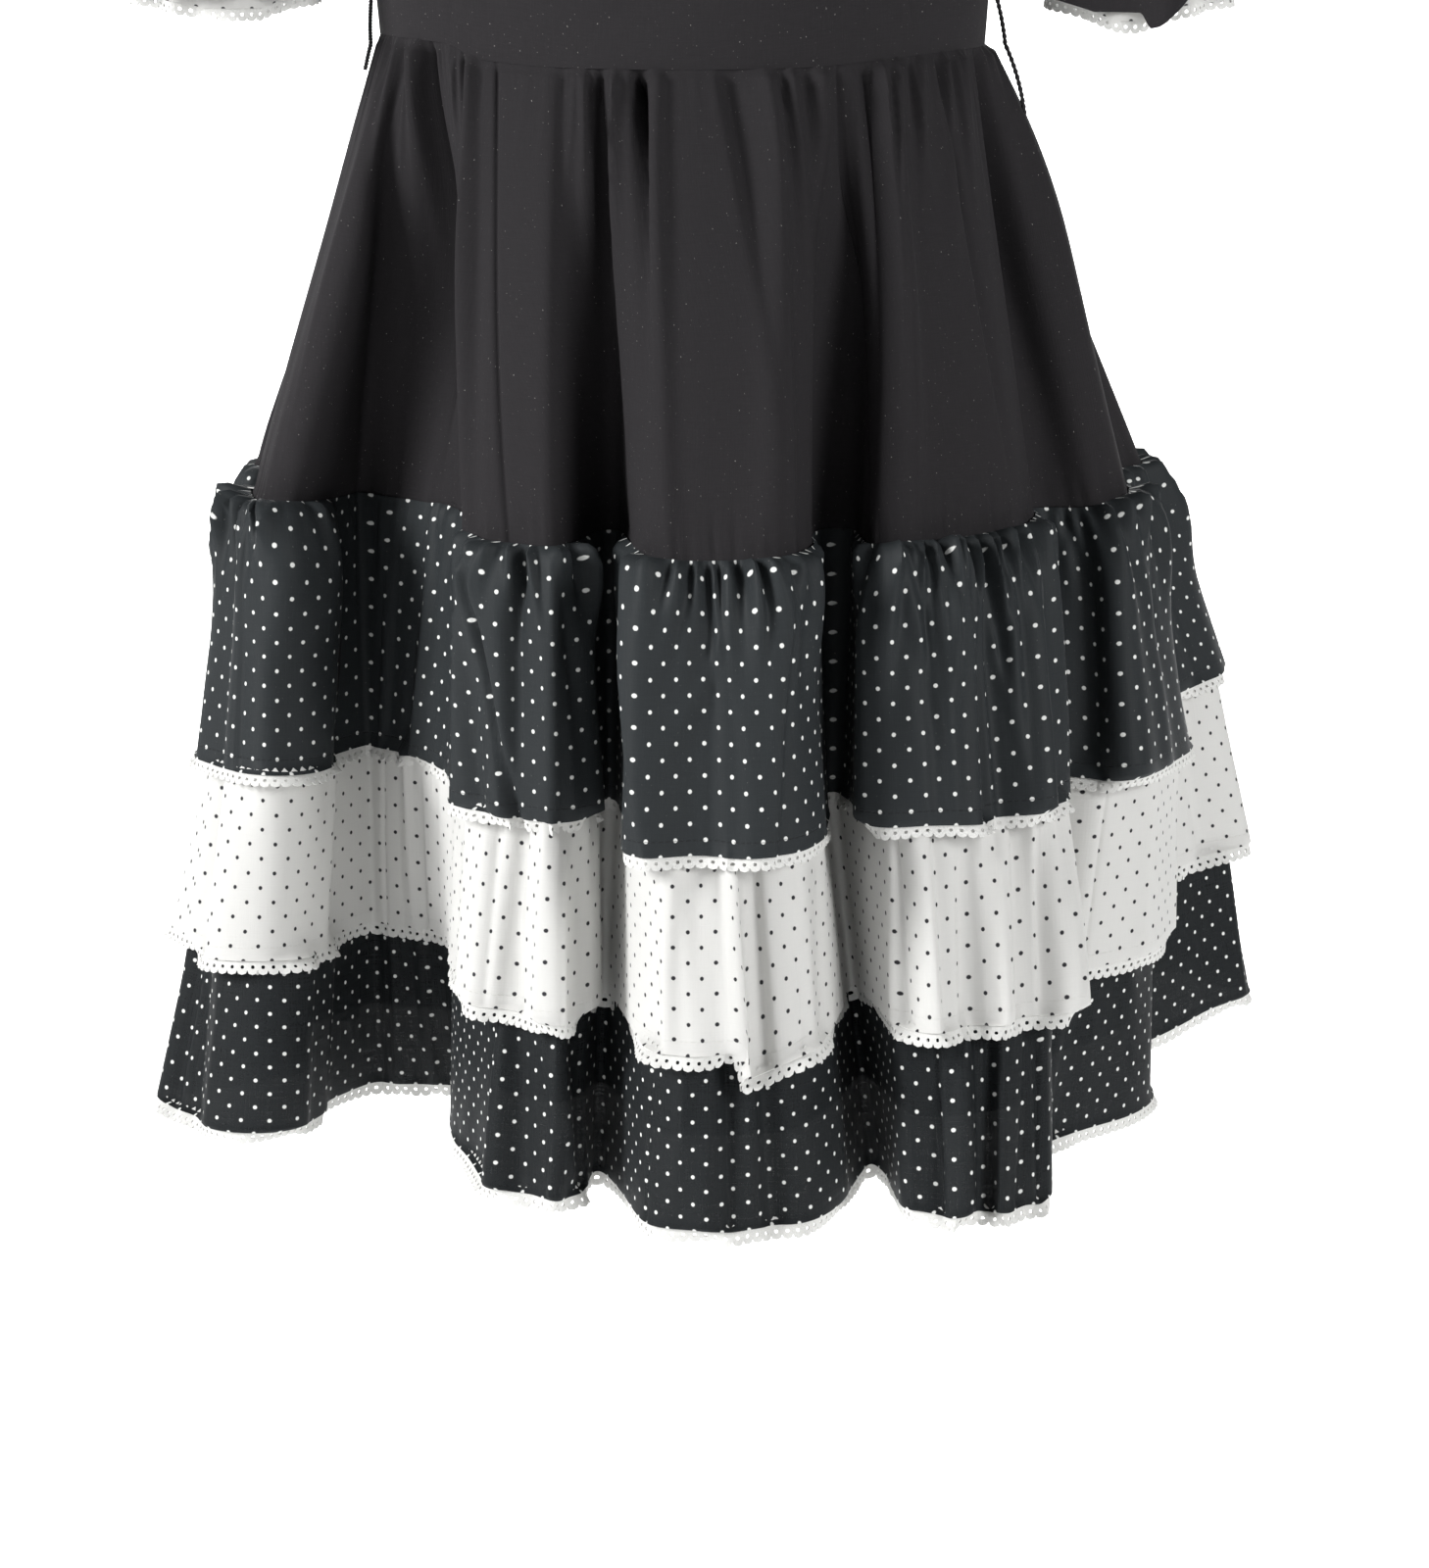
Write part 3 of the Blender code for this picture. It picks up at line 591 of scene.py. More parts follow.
def slubs(finish, u, v, along=90.0, across=1500.0):
    """Fine streaks of both sets of threads, about 0.5 in the middle. The scales are streaks to a metre."""
    warp = finish.noise(finish.vector(u * across, v * along), 1.0, 2.0, 0.6)
    weft = finish.noise(finish.vector(u * along, v * across, 7.0), 1.0, 2.0, 0.6)
    return (warp + weft) * 0.5


def lint(finish, u, v, share):
    """The share on a speck of lint and 0 elsewhere. Specks are more crowded in some patches."""
    speck = finish.noise(finish.vector(u * 1150.0, v * 700.0, 3.0), 1.0, 1.0)
    patch = finish.noise(finish.vector(u * 40.0, v * 40.0, 9.0), 1.0, 2.0)
    return ((speck - (LINT_LEVEL - LINT_PATCHES * patch)) * LINT_EDGE).clamped() * share


def pin_dots(finish, u, v, pitch, diameter, soft=0.00016):
    """1 inside the dots, which stand in a square grid with one more in the middle of each square."""
    def from_dot(shift):
        x = ((u / pitch + shift).fraction() - 0.5) * pitch
        y = ((v / pitch + shift).fraction() - 0.5) * pitch
        return (x * x + y * y).root()

    ragged = (finish.noise(finish.vector(u * 2600.0, v * 2600.0), 1.0, 1.0) - 0.5) * RAGGED
    nearest = from_dot(0.0).least(from_dot(0.5)) + ragged
    return ((diameter / 2 + soft - nearest) / (2.0 * soft)).clamped()


def hem_stitches(u, v, height, stitch=0.0032, thread=0.00022):
    """1 on the dashes of a machine stitch that runs at this height above the hem."""
    off_line = ((v - height).size() / thread * -1.0 + 1.6).clamped()
    in_dash = (((u / stitch).fraction() - 0.5).size() * -10.0 + 3.9).clamped()
    return off_line * in_dash


# %% [markdown]
# The black of the bodice and skirt is a warm charcoal, soft and almost without shine. The dotted black
# of the ruffles is a little cooler and has a faint sheen, because its threads are smoother.

# %% Black cloths
PLAIN_BLACK = (0.0180, 0.0168, 0.0182, 1.0)
PLAIN_BLACK_LIT = (0.0278, 0.0262, 0.0282, 1.0)
DOTTED_BLACK = (0.0170, 0.0195, 0.0212, 1.0)
DOTTED_BLACK_LIT = (0.0290, 0.0330, 0.0355, 1.0)
LINT = (0.30, 0.29, 0.28, 1.0)
DOT_WHITE = (0.74, 0.75, 0.73, 1.0)
DOT_BLACK = (0.030, 0.029, 0.034, 1.0)
DOT_PITCH = 0.0136
DOT_DIAMETER = 0.0019
HEM_STITCHES = 0.0065
WHITE_HEM_STITCHES = 0.0060


def plain_black():
    finish = Finish("plain black cloth", Roughness=0.85, Specular_IOR_Level=0.06)
    finish.set(Sheen_Weight=0.01, Sheen_Roughness=0.45)
    u, v = finish.cut_place()
    threads = slubs(finish, u, v)
    colour = finish.mix(threads, PLAIN_BLACK, PLAIN_BLACK_LIT)
    colour = finish.mix(lint(finish, u, v, 0.9), colour, LINT)
    finish.set(Base_Color=colour)
    finish.bump(threads, 0.00025, 0.8)
    return finish.material


def dotted_black():
    finish = Finish("dotted black cloth", Specular_IOR_Level=0.12)
    finish.set(Sheen_Weight=0.01, Sheen_Roughness=0.35)
    u, v = finish.cut_place()
    threads = slubs(finish, u, v, 70.0, 1900.0)
    dots = pin_dots(finish, u, v, DOT_PITCH, DOT_DIAMETER)
    stitches = hem_stitches(u, v, HEM_STITCHES)
    colour = finish.mix(threads, DOTTED_BLACK, DOTTED_BLACK_LIT)
    colour = finish.mix(lint(finish, u, v, 0.25), colour, LINT)
    colour = finish.mix(dots, colour, DOT_WHITE)
    colour = finish.mix(stitches * 0.45, colour, PLAIN_BLACK)
    finish.set(Base_Color=colour, Roughness=0.58 + dots * 0.25)
    finish.bump(threads * 0.6 + dots * 0.25 - stitches * 0.8, 0.00030, 0.8)
    return finish.material


PLAIN_BLACK_CLOTH = Cloth(plain_black(), "black_cloth")
DOTTED_BLACK_CLOTH = Cloth(dotted_black(), "dotted_black_cloth")
print("black cloths made")

# %% [markdown]
# The lowest ruffle is cut from a thinner cloth. Where nothing dark hangs behind it, a little light
# comes through between its threads. The white cloth is thin too: light glows through it, which keeps
# its folds pale grey and never black. So the white cloth and the lace get a second shader, mixed in by
# a fixed share.

# %% Thin cloths
WHITE = (0.83, 0.83, 0.805, 1.0)
# Painted shade: the two thin blacks are the dotted black darkened to about six tenths, because the thin cloth
# of the lowest ruffle lies over shadow
THIN_BLACK_WITH_PAINTED_SHADE = (0.0100, 0.0115, 0.0125, 1.0)
THIN_BLACK_LIT_WITH_PAINTED_SHADE = (0.0180, 0.0205, 0.0222, 1.0)
WHITE_THIN = (0.76, 0.755, 0.742, 1.0)
LACE_SHADE = (0.72, 0.72, 0.70, 1.0)
LACE_WHITE = (0.88, 0.88, 0.86, 1.0)
THREAD_LIT = (0.035, 0.032, 0.035, 1.0)
OPEN_WEAVE = 0.05
CLOTH_GLOW = 0.30
LACE_GLOW = 0.2
THIN_DOT_PITCH = DOT_PITCH * 0.92
THIN_DOT_DIAMETER = DOT_DIAMETER * 0.95


def thin_black():
    finish = Finish("thin dotted black cloth", Specular_IOR_Level=0.10)
    finish.set(Sheen_Weight=0.01, Sheen_Roughness=0.35)
    u, v = finish.cut_place()
    threads = slubs(finish, u, v, 50.0, 1500.0)
    dots = pin_dots(finish, u, v, THIN_DOT_PITCH, THIN_DOT_DIAMETER)
    # these two thin blacks carry painted shade, darker than the dotted black
    colour = finish.mix(threads, THIN_BLACK_WITH_PAINTED_SHADE, THIN_BLACK_LIT_WITH_PAINTED_SHADE)
    colour = finish.mix(dots, colour, DOT_WHITE)
    gaps = (OPEN_WEAVE + (0.5 - threads) * 0.25).clamped()
    finish.set(Base_Color=colour, Roughness=0.62 + dots * 0.2, Alpha=1.0 - gaps * (1.0 - dots))
    finish.bump(threads, 0.00030, 0.8)
    return finish.material


def glowing(finish, colour, share):
    """Lets light through the cloth: a fixed share of a translucent shader."""
    through = finish.node("ShaderNodeBsdfTranslucent", {}, {"Color": colour})
    both = finish.node("ShaderNodeMixShader", {}, {0: share})
    finish.tree.links.new(finish.shader.outputs[0], both.inputs[1])
    finish.tree.links.new(through.outputs[0], both.inputs[2])
    finish.tree.links.new(both.outputs[0], finish.output.inputs["Surface"])


def dotted_white():
    finish = Finish("dotted white cloth", Specular_IOR_Level=0.25)
    finish.set(Sheen_Weight=0.10, Sheen_Roughness=0.5)
    u, v = finish.cut_place()
    threads = slubs(finish, u, v, 60.0, 1500.0)
    dots = pin_dots(finish, u, v, DOT_PITCH, DOT_DIAMETER)
    colour = finish.mix(threads, WHITE_THIN, WHITE)
    colour = finish.mix(dots, colour, DOT_BLACK)
    finish.set(Base_Color=colour, Roughness=0.80 - dots * 0.1)
    finish.bump(threads - hem_stitches(u, v, WHITE_HEM_STITCHES) * 0.7, 0.00025, 0.8)
    glowing(finish, colour, CLOTH_GLOW)
    return finish.material


def white_lace():
    finish = Finish("white lace", Roughness=0.82, Specular_IOR_Level=0.25)
    loops = finish.noise(finish.object_place(), 1400.0, 2.0, 0.6)
    colour = finish.mix(loops, LACE_SHADE, LACE_WHITE)
    finish.set(Base_Color=colour)
    finish.bump(loops, 0.00035, 0.9)
    glowing(finish, colour, LACE_GLOW)
    return finish.material


def black_thread():
    finish = Finish("black thread", Roughness=0.75, Specular_IOR_Level=0.25, Sheen_Weight=0.2)
    fuzz = finish.noise(finish.object_place(), 1800.0, 2.0)
    finish.set(Base_Color=finish.mix(fuzz, PLAIN_BLACK, THREAD_LIT))
    finish.bump(fuzz, 0.00030, 0.8)
    return finish.material


THIN_BLACK_CLOTH = Cloth(thin_black(), "dotted_black_cloth")
DOTTED_WHITE_CLOTH = Cloth(dotted_white(), "dotted_white_cloth")
LACE = Cloth(white_lace(), "white_lace")
THREAD = Cloth(black_thread(), "black_cloth")
print("materials:", len(bpy.data.materials))

# %% [markdown]
# Five gores make the plain part of the skirt. They are gathered into the waist seam, most of all at
# the sides, and each seam between two gores is a shallow groove where the edges turn in.

# %% The skirt's gores
GORE_SECTIONS = tuple(Section(drop, 0.0015, 0.0015, 0.0) for drop in (0.0, 0.030, 0.080, 0.145, SEAM_DROP))
Piece = namedtuple("Piece", "name start end")
GORES = (
    Piece("skirt_front_right", 1.0, 6.25),
    Piece("skirt_front_centre", 6.25, 10.75),
    Piece("skirt_front_left", 10.75, 16.5),
    Piece("skirt_back_left", 16.5, 25.0),
    Piece("skirt_back_right", 25.0, 36.0),
)
GORE_COLUMNS = 30
SKIRT_DROPS = np.concatenate(
    [[0.0, 0.002, 0.005, 0.009, 0.014], np.linspace(0.020, 0.196, 30), [0.201, 0.2055, SEAM_DROP]]
)
GATHER_RISE = 0.006
PULL_RISE = 0.002
PULL_SEED = 5
TUCKED_IN = 0.0008
TUCKED_UP = 0.0015
# How much wider and longer the flat gore is than the dressed one
GORE_MORE = (1.005, 1.02)
# Deep folds that every layer shares
DEEP_FOLDS = (
    Ridge(2.60, 0.40, 0.0120, 0.260, 0.0, 0.8, start=0.030),
    Ridge(3.93, 0.62, -0.0440, 0.250, 0.8, 1.0, start=0.030),
    Ridge(5.30, 0.12, 0.0080, 0.300, 1.5, 0.8, -0.4, start=0.020),
    Ridge(7.40, 0.20, -0.0060, 0.300, 1.5, 0.8, start=0.020),
    Ridge(8.55, 0.12, 0.0050, 0.300, 0.5, 0.8, -0.4),
    Ridge(9.98, 0.14, 0.0060, 0.320, 0.6, 0.5, -0.5, start=0.020),
    Ridge(10.80, 0.26, -0.0170, 0.200, 0.0, 0.8, 0.2, start=0.050),
    Ridge(12.05, 0.16, 0.0060, 0.300, 0.0, 1.0, -0.4, start=0.020),
    Ridge(14.90, 0.16, -0.0190, 0.200, 1.2, 0.9),
    Ridge(15.70, 0.16, 0.0070, 0.300, 0.8, 0.6),
    Ridge(16.80, 1.20, 0.0160, 0.160),
    Ridge(19.60, 0.14, -0.0120, 0.220, -1.0, 1.0, 0.2, start=0.030),
    Ridge(21.40, 0.16, 0.0070, 0.300, 1.2, 0.9, -0.4, start=0.020),
    Ridge(23.10, 0.13, -0.0130, 0.230, 0.8, 0.9, 0.3, start=0.020),
    Ridge(25.60, 0.12, -0.0100, 0.220, -0.8, 1.2, start=0.040),
    Ridge(27.20, 0.15, 0.0070, 0.300, -1.2, 0.9, 0.4, start=0.020),
    Ridge(28.90, 0.14, -0.0130, 0.230, 1.0, 0.9, -0.3, start=0.020),
    Ridge(31.40, 0.12, -0.0110, 0.220, 0.6, 1.0, 0.2, start=0.030),
    Ridge(33.30, 0.15, -0.0100, 0.220, -0.8, 1.0, start=0.020),
)
DEEP_RISE = 0.15
# Where the two front seams run: waves at the waist, and waves more for each metre down
SEAM_LINES = {6.25: (5.78, 2.9), 10.75: (10.86, 2.5)}
# Where the waist is gathered: from, to in waves, and how strongly
GATHERED_PARTS = ((1.4, 5.5, 0.8), (7.0, 8.6, 0.8), (10.0, 10.75, 0.7), (11.3, 15.6, 0.8), (16.6, 35.5, 0.9))
FLAT_PARTS = ((5.6, 6.9, 0.3), (8.8, 9.9, 0.3), (10.9, 11.3, 0.3))
# The creases that show most in front
FRONT_CREASES = (
    Ridge(2.30, 0.14, -0.0026, 0.070, 6.0, 0.5, 0.3),
    Ridge(2.80, 0.16, -0.0045, 0.090, 1.0, 0.5, 0.3),
    Ridge(3.52, 0.17, 0.0085, 0.090, 1.0, 0.5, -0.4),
    Ridge(3.88, 0.10, -0.0065, 0.085, 1.0, 0.5),
    Ridge(4.72, 0.08, 0.0022, 0.040, 4.0, 0.8, 0.2),
    Ridge(5.10, 0.07, -0.0024, 0.040, 5.0, 0.6),
    Ridge(5.36, 0.10, 0.0040, 0.160, 1.5, 0.5, -0.4),
    Ridge(7.08, 0.14, -0.0036, 0.130, 1.5, 0.5),
    Ridge(7.40, 0.08, 0.0026, 0.070, 2.0, 0.8, 0.3),
    Ridge(7.58, 0.05, -0.0020, 0.040, 2.0, 0.6),
    Ridge(7.80, 0.10, -0.0060, 0.150, 2.0, 0.5, -0.3),
    Ridge(8.04, 0.06, 0.0060, 0.160, 1.2, 0.3),
    Ridge(8.36, 0.085, -0.0140, 0.130, 1.0, 0.4, 0.2),
    Ridge(8.64, 0.09, 0.0030, 0.150, 0.0, 0.8, -0.4),
    Ridge(9.45, 0.16, -0.0058, 0.130, 4.0, 0.6, 0.5),
    Ridge(9.95, 0.10, 0.0026, 0.080, 2.5, 0.8, 0.4),
    Ridge(10.17, 0.06, -0.0034, 0.120, 0.6, 0.3, 0.3),
    Ridge(10.30, 0.07, 0.0030, 0.080, 0.6, 0.6),
    Ridge(10.46, 0.09, -0.0040, 0.060, 0.0, 0.5),
    Ridge(10.68, 0.09, 0.0034, 0.060, 0.0, 0.6),
    Ridge(11.46, 0.15, -0.0070, 0.150, 0.4, 0.6, 0.2),
    Ridge(11.84, 0.09, 0.0034, 0.100, 0.0, 0.8, -0.5),
    Ridge(12.10, 0.06, -0.0024, 0.050, -4.0, 0.5),
    Ridge(12.28, 0.08, 0.0028, 0.060, -4.4, 0.6, -0.5),
    Ridge(12.60, 0.08, -0.0028, 0.050, -3.0, 0.6, 0.2),
    Ridge(12.88, 0.08, 0.0026, 0.045, -6.0, 0.9),
    Ridge(13.30, 0.06, -0.0034, 0.150, 3.0, 0.2, 0.4),
    Ridge(13.55, 0.09, 0.0030, 0.060, -4.0, 0.8),
    Ridge(13.85, 0.08, -0.0026, 0.060, -2.0, 0.6),
    Ridge(14.10, 0.09, 0.0028, 0.050, -4.0, 0.8),
    Ridge(14.50, 0.08, -0.0024, 0.050, -2.0, 0.6, 0.3),
    Ridge(15.05, 0.11, -0.0050, 0.150, 1.0, 0.5, -0.2),
)

# %% [markdown]
# Each gore is a grid between its two seam lines. The ridges lift it, small dimples pull at it just
# above the ruffle seam, and its edges turn in along the seams.

# %% Making the gores
def waist_ridges():
    ridges = list(FRONT_CREASES)
    for number, (start, end, strength) in enumerate(GATHERED_PARTS + FLAT_PARTS):
        tall = (0.0006 * strength, 0.0022 * strength)
        ridges += scattered_ridges(20 + number, start, end, 0.17, (0.045, 0.075), tall, (0.015, 0.055),
                                   0.5, 2.5, 0.4)
    start, end, _ = GATHERED_PARTS[-1]
    return ridges + scattered_ridges(60, start, end, 0.42, (0.08, 0.16), (-0.0042, 0.0046), (0.060, 0.190),
                                     0.7, 2.0, 0.6)


def seam_pulls(seed):
    """Small dimples just above a seam that a ruffle is gathered to."""
    return scattered_ridges(seed, 0.0, WAVES, 0.13, (0.04, 0.06), (-0.0016, -0.0003), (0.006, 0.018), 0.0)


def edge_roll(lengths, depth=0.0021, width=0.0018):
    """How far each column sinks where the cloth turns in to a seam at either end."""
    to_edge = np.minimum(lengths, lengths[-1] - lengths)
    return -depth * np.exp(-((to_edge / width) ** 2))


def seam_columns(start, end, count, close=(0.0, 0.007, 0.016, 0.028)):
    """Columns of a piece, closer together at its two seams."""
    inner = np.linspace(start, end, count + 1)[1:-1]
    return np.concatenate([start + np.array(close), inner, end - np.array(close)[::-1]])


def seam_line(edge, drop):
    """Where a gore's edge runs at this drop."""
    waist, slant = SEAM_LINES.get(edge, (edge, 0.0))
    return waist + slant * drop


def gore_grid(gore, net):
    """Places and points of a gore. Its end columns follow its slanting seams."""
    count = round((gore.end - gore.start) * GORE_COLUMNS)
    edges = [(seam_line(gore.start, drop), seam_line(gore.end, drop)) for drop in SKIRT_DROPS]
    cloth = np.array([seam_columns(start, end, count) for start, end in edges])
    rows = [layer_points(net, GORE_SECTIONS, row, [drop])[0][0] for row, drop in zip(cloth, SKIRT_DROPS)]
    return cloth, np.array(rows)


def make_gores():
    net = layer_net(GORE_SECTIONS, 0.0)
    gathers = waist_ridges()
    pulls = seam_pulls(PULL_SEED)
    for gore in GORES:
        cloth, points = gore_grid(gore, net)
        lift = ridge_heights(gathers, cloth, SKIRT_DROPS, GATHER_RISE)
        lift += ridge_heights(pulls, cloth, SEAM_DROP - SKIRT_DROPS, PULL_RISE)
        lift += edge_roll(arc_lengths(points[len(points) // 2]))[None, :]
        lift += ridge_heights(DEEP_FOLDS, cloth, SKIRT_DROPS, DEEP_RISE)
        # the top edge tucks in behind the bodice's lower edge
        lift = lift * ease(SKIRT_DROPS / 0.004)[:, None] - TUCKED_IN * (SKIRT_DROPS == 0.0)[:, None]
        points = raised(points, lift)
        points[0, :, 2] += TUCKED_UP
        widths = np.array([arc_lengths(row) for row in points])
        down = arc_lengths(points[:, points.shape[1] // 2])
        flat = (widths.max() * GORE_MORE[0], down[-1] * GORE_MORE[1])
        lay_cloth(gore.name, points, widths - widths[:, -1:] / 2, -down[:, None], PLAIN_BLACK_CLOTH, flat,
                  sheet_area(points))
    print("gores:", len(GORES))


make_gores()

# %% [markdown]
# The underskirt is a plain panel in front and one behind. It hangs inside the ruffles and carries the
# lower two, so only its hem shows, through the thin cloth of the lowest ruffle.

# %% The underskirt
UNDERSKIRT_DROPS = (SEAM_DROP, MIDDLE_TOP_DROP, UPPER_HEM_DROP, LOWER_TOP_DROP, MIDDLE_HEM_DROP,
                    UNDERSKIRT_HEM_DROP)
UNDERSKIRT_SECTIONS = tuple(Section(drop, 0.0, 0.0, 0.0) for drop in UNDERSKIRT_DROPS)
UNDERSKIRT_PANELS = (Piece("underskirt_front", 1.0, 16.5), Piece("underskirt_back", 16.5, 36.0))
UNDERSKIRT_COLUMNS = 12
UNDERSKIRT_ROWS = 18
UNDERSKIRT_LONGER = 1.02


def make_underskirt():
    net = layer_net(UNDERSKIRT_SECTIONS, 0.0)
    drops = np.linspace(SEAM_DROP, UNDERSKIRT_HEM_DROP, UNDERSKIRT_ROWS)
    for panel in UNDERSKIRT_PANELS:
        cloth = seam_columns(panel.start, panel.end, round((panel.end - panel.start) * UNDERSKIRT_COLUMNS))
        points, _ = layer_points(net, UNDERSKIRT_SECTIONS, cloth, drops)
        points = raised(points, ridge_heights(DEEP_FOLDS, cloth, drops, DEEP_RISE))
        across = arc_lengths(points[-1])
        down = arc_lengths(points[:, 0])
        lay_cloth(panel.name, points, across, (down[-1] - down)[:, None], PLAIN_BLACK_CLOTH,
                  (across[-1], down[-1] * UNDERSKIRT_LONGER),
                  sheet_area(points))
    print("underskirt panels:", len(UNDERSKIRT_PANELS))


make_underskirt()

# %% [markdown]
# A ruffle is a long strip, pieced from shorter ones and gathered along its top edge. Crowded ridges
# fade out below the gathering stitches, and a few wider folds run on to the hem. Its map is measured
# along the hem, so the dots are true there and crowd together in the gathers, as printed cloth does.

# %% The three ruffles
CLOTH = 0.0012
BESIDE = 0.0006
LEAST_APART = 0.0020
UPPER_SECTIONS = (
    Section(SEAM_DROP, CLOTH + BESIDE, CLOTH + BESIDE, 0.0),
    Section(0.228, 0.0027, 0.0090, 0.0020),
    Section(MIDDLE_TOP_DROP, 0.0036, 0.0140, 0.0035),
    Section(UPPER_HEM_DROP, 0.0045, 0.0180, 0.0050),
)
MIDDLE_SECTIONS = (
    Section(MIDDLE_TOP_DROP, CLOTH + BESIDE, CLOTH + BESIDE, 0.0),
    Section(UPPER_HEM_DROP, 0.0029, 0.0090, 0.0020),
    Section(LOWER_TOP_DROP, 0.0036, 0.0115, 0.0033),
    Section(MIDDLE_HEM_DROP, 0.0044, 0.0160, 0.0055),
)
LOWER_SECTIONS = (
    Section(LOWER_TOP_DROP, CLOTH + BESIDE, CLOTH + BESIDE, 0.0),
    Section(MIDDLE_HEM_DROP, 0.0021, 0.0060, 0.0012),
    Section(UNDERSKIRT_HEM_DROP, 0.0026, 0.0086, 0.0032),
    Section(LOWER_HEM_DROP, 0.0030, 0.0110, 0.0050),
)
Ruffle = namedtuple("Ruffle", "name sections phase joins cloth")
RUFFLES = (
    Ruffle("upper", UPPER_SECTIONS, 0.0, (5.75, 17.5, 29.0), DOTTED_BLACK_CLOTH),
    Ruffle("middle", MIDDLE_SECTIONS, 0.5, (3.5, 15.5, 26.5), DOTTED_WHITE_CLOTH),
    Ruffle("lower", LOWER_SECTIONS, 0.25, (8.5, 19.5, 31.5), THIN_BLACK_CLOTH),
)
# The folds of each ruffle that show most in front
RUFFLE_CREASES = {
    "upper": (
        Ridge(6.02, 0.17, 0.0095, 0.400, -1.9, 0.0, 0.86),
        Ridge(6.03, 0.040, -0.0040, 0.400, 4.6),
        Ridge(6.60, 0.09, -0.0034, 0.140, 0.0, 0.4, 0.3),
        Ridge(7.00, 0.10, 0.0036, 0.150, 0.5, 0.4, -0.4),
        Ridge(7.50, 0.08, 0.0034, 0.120, 1.0, 0.4, 0.5),
        Ridge(8.35, 0.10, 0.0040, 0.200, 2.5, 0.2, 0.7),
        Ridge(8.90, 0.06, 0.0030, 0.050, 0.0, 0.5),
        Ridge(9.30, 0.06, 0.0026, 0.045, -11.0, 0.3, start=0.030),
        Ridge(9.94, 0.14, 0.0042, 0.300, -2.0, 0.0, -0.8),
        Ridge(11.75, 0.08, 0.0034, 0.090, 5.5, 0.5, 0.3),
        Ridge(12.45, 0.08, 0.0030, 0.070, -2.0, 0.6),
        Ridge(12.92, 0.08, -0.0042, 0.170, 0.6, 0.2, 0.3),
        Ridge(13.00, 0.05, 0.0022, 0.040, 5.8, 0.2, start=0.041),
        Ridge(14.30, 0.10, 0.0038, 0.150, 0.0, 0.3, -0.6),
        Ridge(14.80, 0.08, 0.0036, 0.140, 0.0, 0.3, 0.6),
    ),
    "middle": (
        Ridge(1.70, 0.10, -0.0036, 0.250, 0.6, 0.4, 0.3),
        Ridge(6.80, 0.14, 0.0038, 0.250, 1.0, 0.4, -0.4),
        Ridge(7.60, 0.10, 0.0034, 0.250, 0.6, 0.4, 0.5),
        Ridge(8.88, 0.12, 0.0040, 0.250, -1.4, 0.4, -0.5),
        Ridge(9.22, 0.16, 0.0046, 0.400, 0.6, 0.2, 0.85),
        Ridge(12.70, 0.12, 0.0038, 0.250, 0.8, 0.4, 0.4),
        Ridge(13.85, 0.12, 0.0036, 0.250, 0.0, 0.4, -0.4),
    ),
    "lower": (
        Ridge(6.30, 0.16, 0.0040, 0.300, 7.5, 0.2, 0.5),
        Ridge(7.15, 0.10, -0.0036, 0.300, 0.0, 0.4),
        Ridge(8.95, 0.14, 0.0040, 0.300, -1.5, 0.4, 0.3),
        Ridge(12.10, 0.14, -0.0036, 0.300, -0.7, 0.4),
    ),
}
# The fold at the wearer's right comes forward below the gathers and has a sharp front edge
FORWARD_FOLDS = {
    name: [Ridge(2.70, 0.34, height, 0.400, slant, 0.0, -0.82)]
    for name, height, slant in (("upper", 0.0170, -0.8), ("middle", 0.0170, -0.4), ("lower", 0.0160, -0.2))
}
FORWARD_RISE = 0.070
RUFFLE_RISE = 0.004
HEM_RISE = 0.002
# Parts of a hem that hang lower: ruffle, from and to in waves, and metres
LOW_HEMS = {"middle": (9.28, 10.05, 0.013)}
LOW_HEM_BLENDS = (0.10, 0.6)
# Crowded short gathers, sharp creases between them, longer folds, and more gathers at the wearer's right.
# Each row has a seed and then what scattered_ridges takes.
GATHERS = (
    (1, 0.0, WAVES, 0.175, (0.046, 0.070), (0.0044, 0.0098), (0.014, 0.055), 0.8, 3.0, 0.5),
    (2, 0.0, WAVES, 0.21, (0.028, 0.042), (-0.0052, -0.0018), (0.014, 0.060), 0.9, 4.0, 0.3),
    (4, 0.0, WAVES, 0.40, (0.075, 0.120), (-0.0046, 0.0062), (0.050, 0.150), 0.4, 2.0, 0.6),
    (5, 0.2, 3.0, 0.12, (0.024, 0.040), (0.0040, 0.0085), (0.012, 0.040), 0.9, 4.0, 0.5),
)
# Soft folds that open towards the hem
HEM_FOLDS = (3, 0.0, WAVES, 0.36, (0.09, 0.16), (-0.0078, 0.0078), (0.075, 0.19), 0.0, 1.0, 0.7)
# The cloth swells out a little just below the gathering stitches
BULGE = 0.0012
BULGE_RISE = 0.007
BULGE_REACH = 0.028
# How much of the gathers is left in the furrows between the big folds
FURROW_SHARE = 0.10
FURROW_POWER = 0.7
# Where the ruffle above covers this one, its folds are flatter and it lies further in
COVERED_BLEND = 0.014
COVERED_LEAD = 0.9
COVERED_FLATTER = 0.8
COVERED_SINKS = (0.002, 0.004)
FRONT_END = 17.0
FRONT_CELL = 11
BACK_CELL = 8
CELL = 0.25
RUFFLE_ROWS = 24
RUFFLE_LONGER = 1.03
# How deep and how wide the groove is where two strips are sewn together
STRIP_SEAM = (0.0006, 0.0012)

# %% [markdown]
# The same functions make all three ruffles. Each ruffle keeps a least distance off the one inside it,
# so that the layers nest. Where the ruffle above covers it, its folds are flatter.

# %% Making the ruffles
def scattered(number, row):
    """The ridges of such a row, with another seed for each ruffle."""
    seed, *rest = row
    return scattered_ridges(100 * number + seed, *rest)


def ruffle_ridges(number):
    ridges = list(RUFFLE_CREASES[RUFFLES[number - 1].name])
    for row in GATHERS:
        ridges += scattered(number, row)
    return ridges


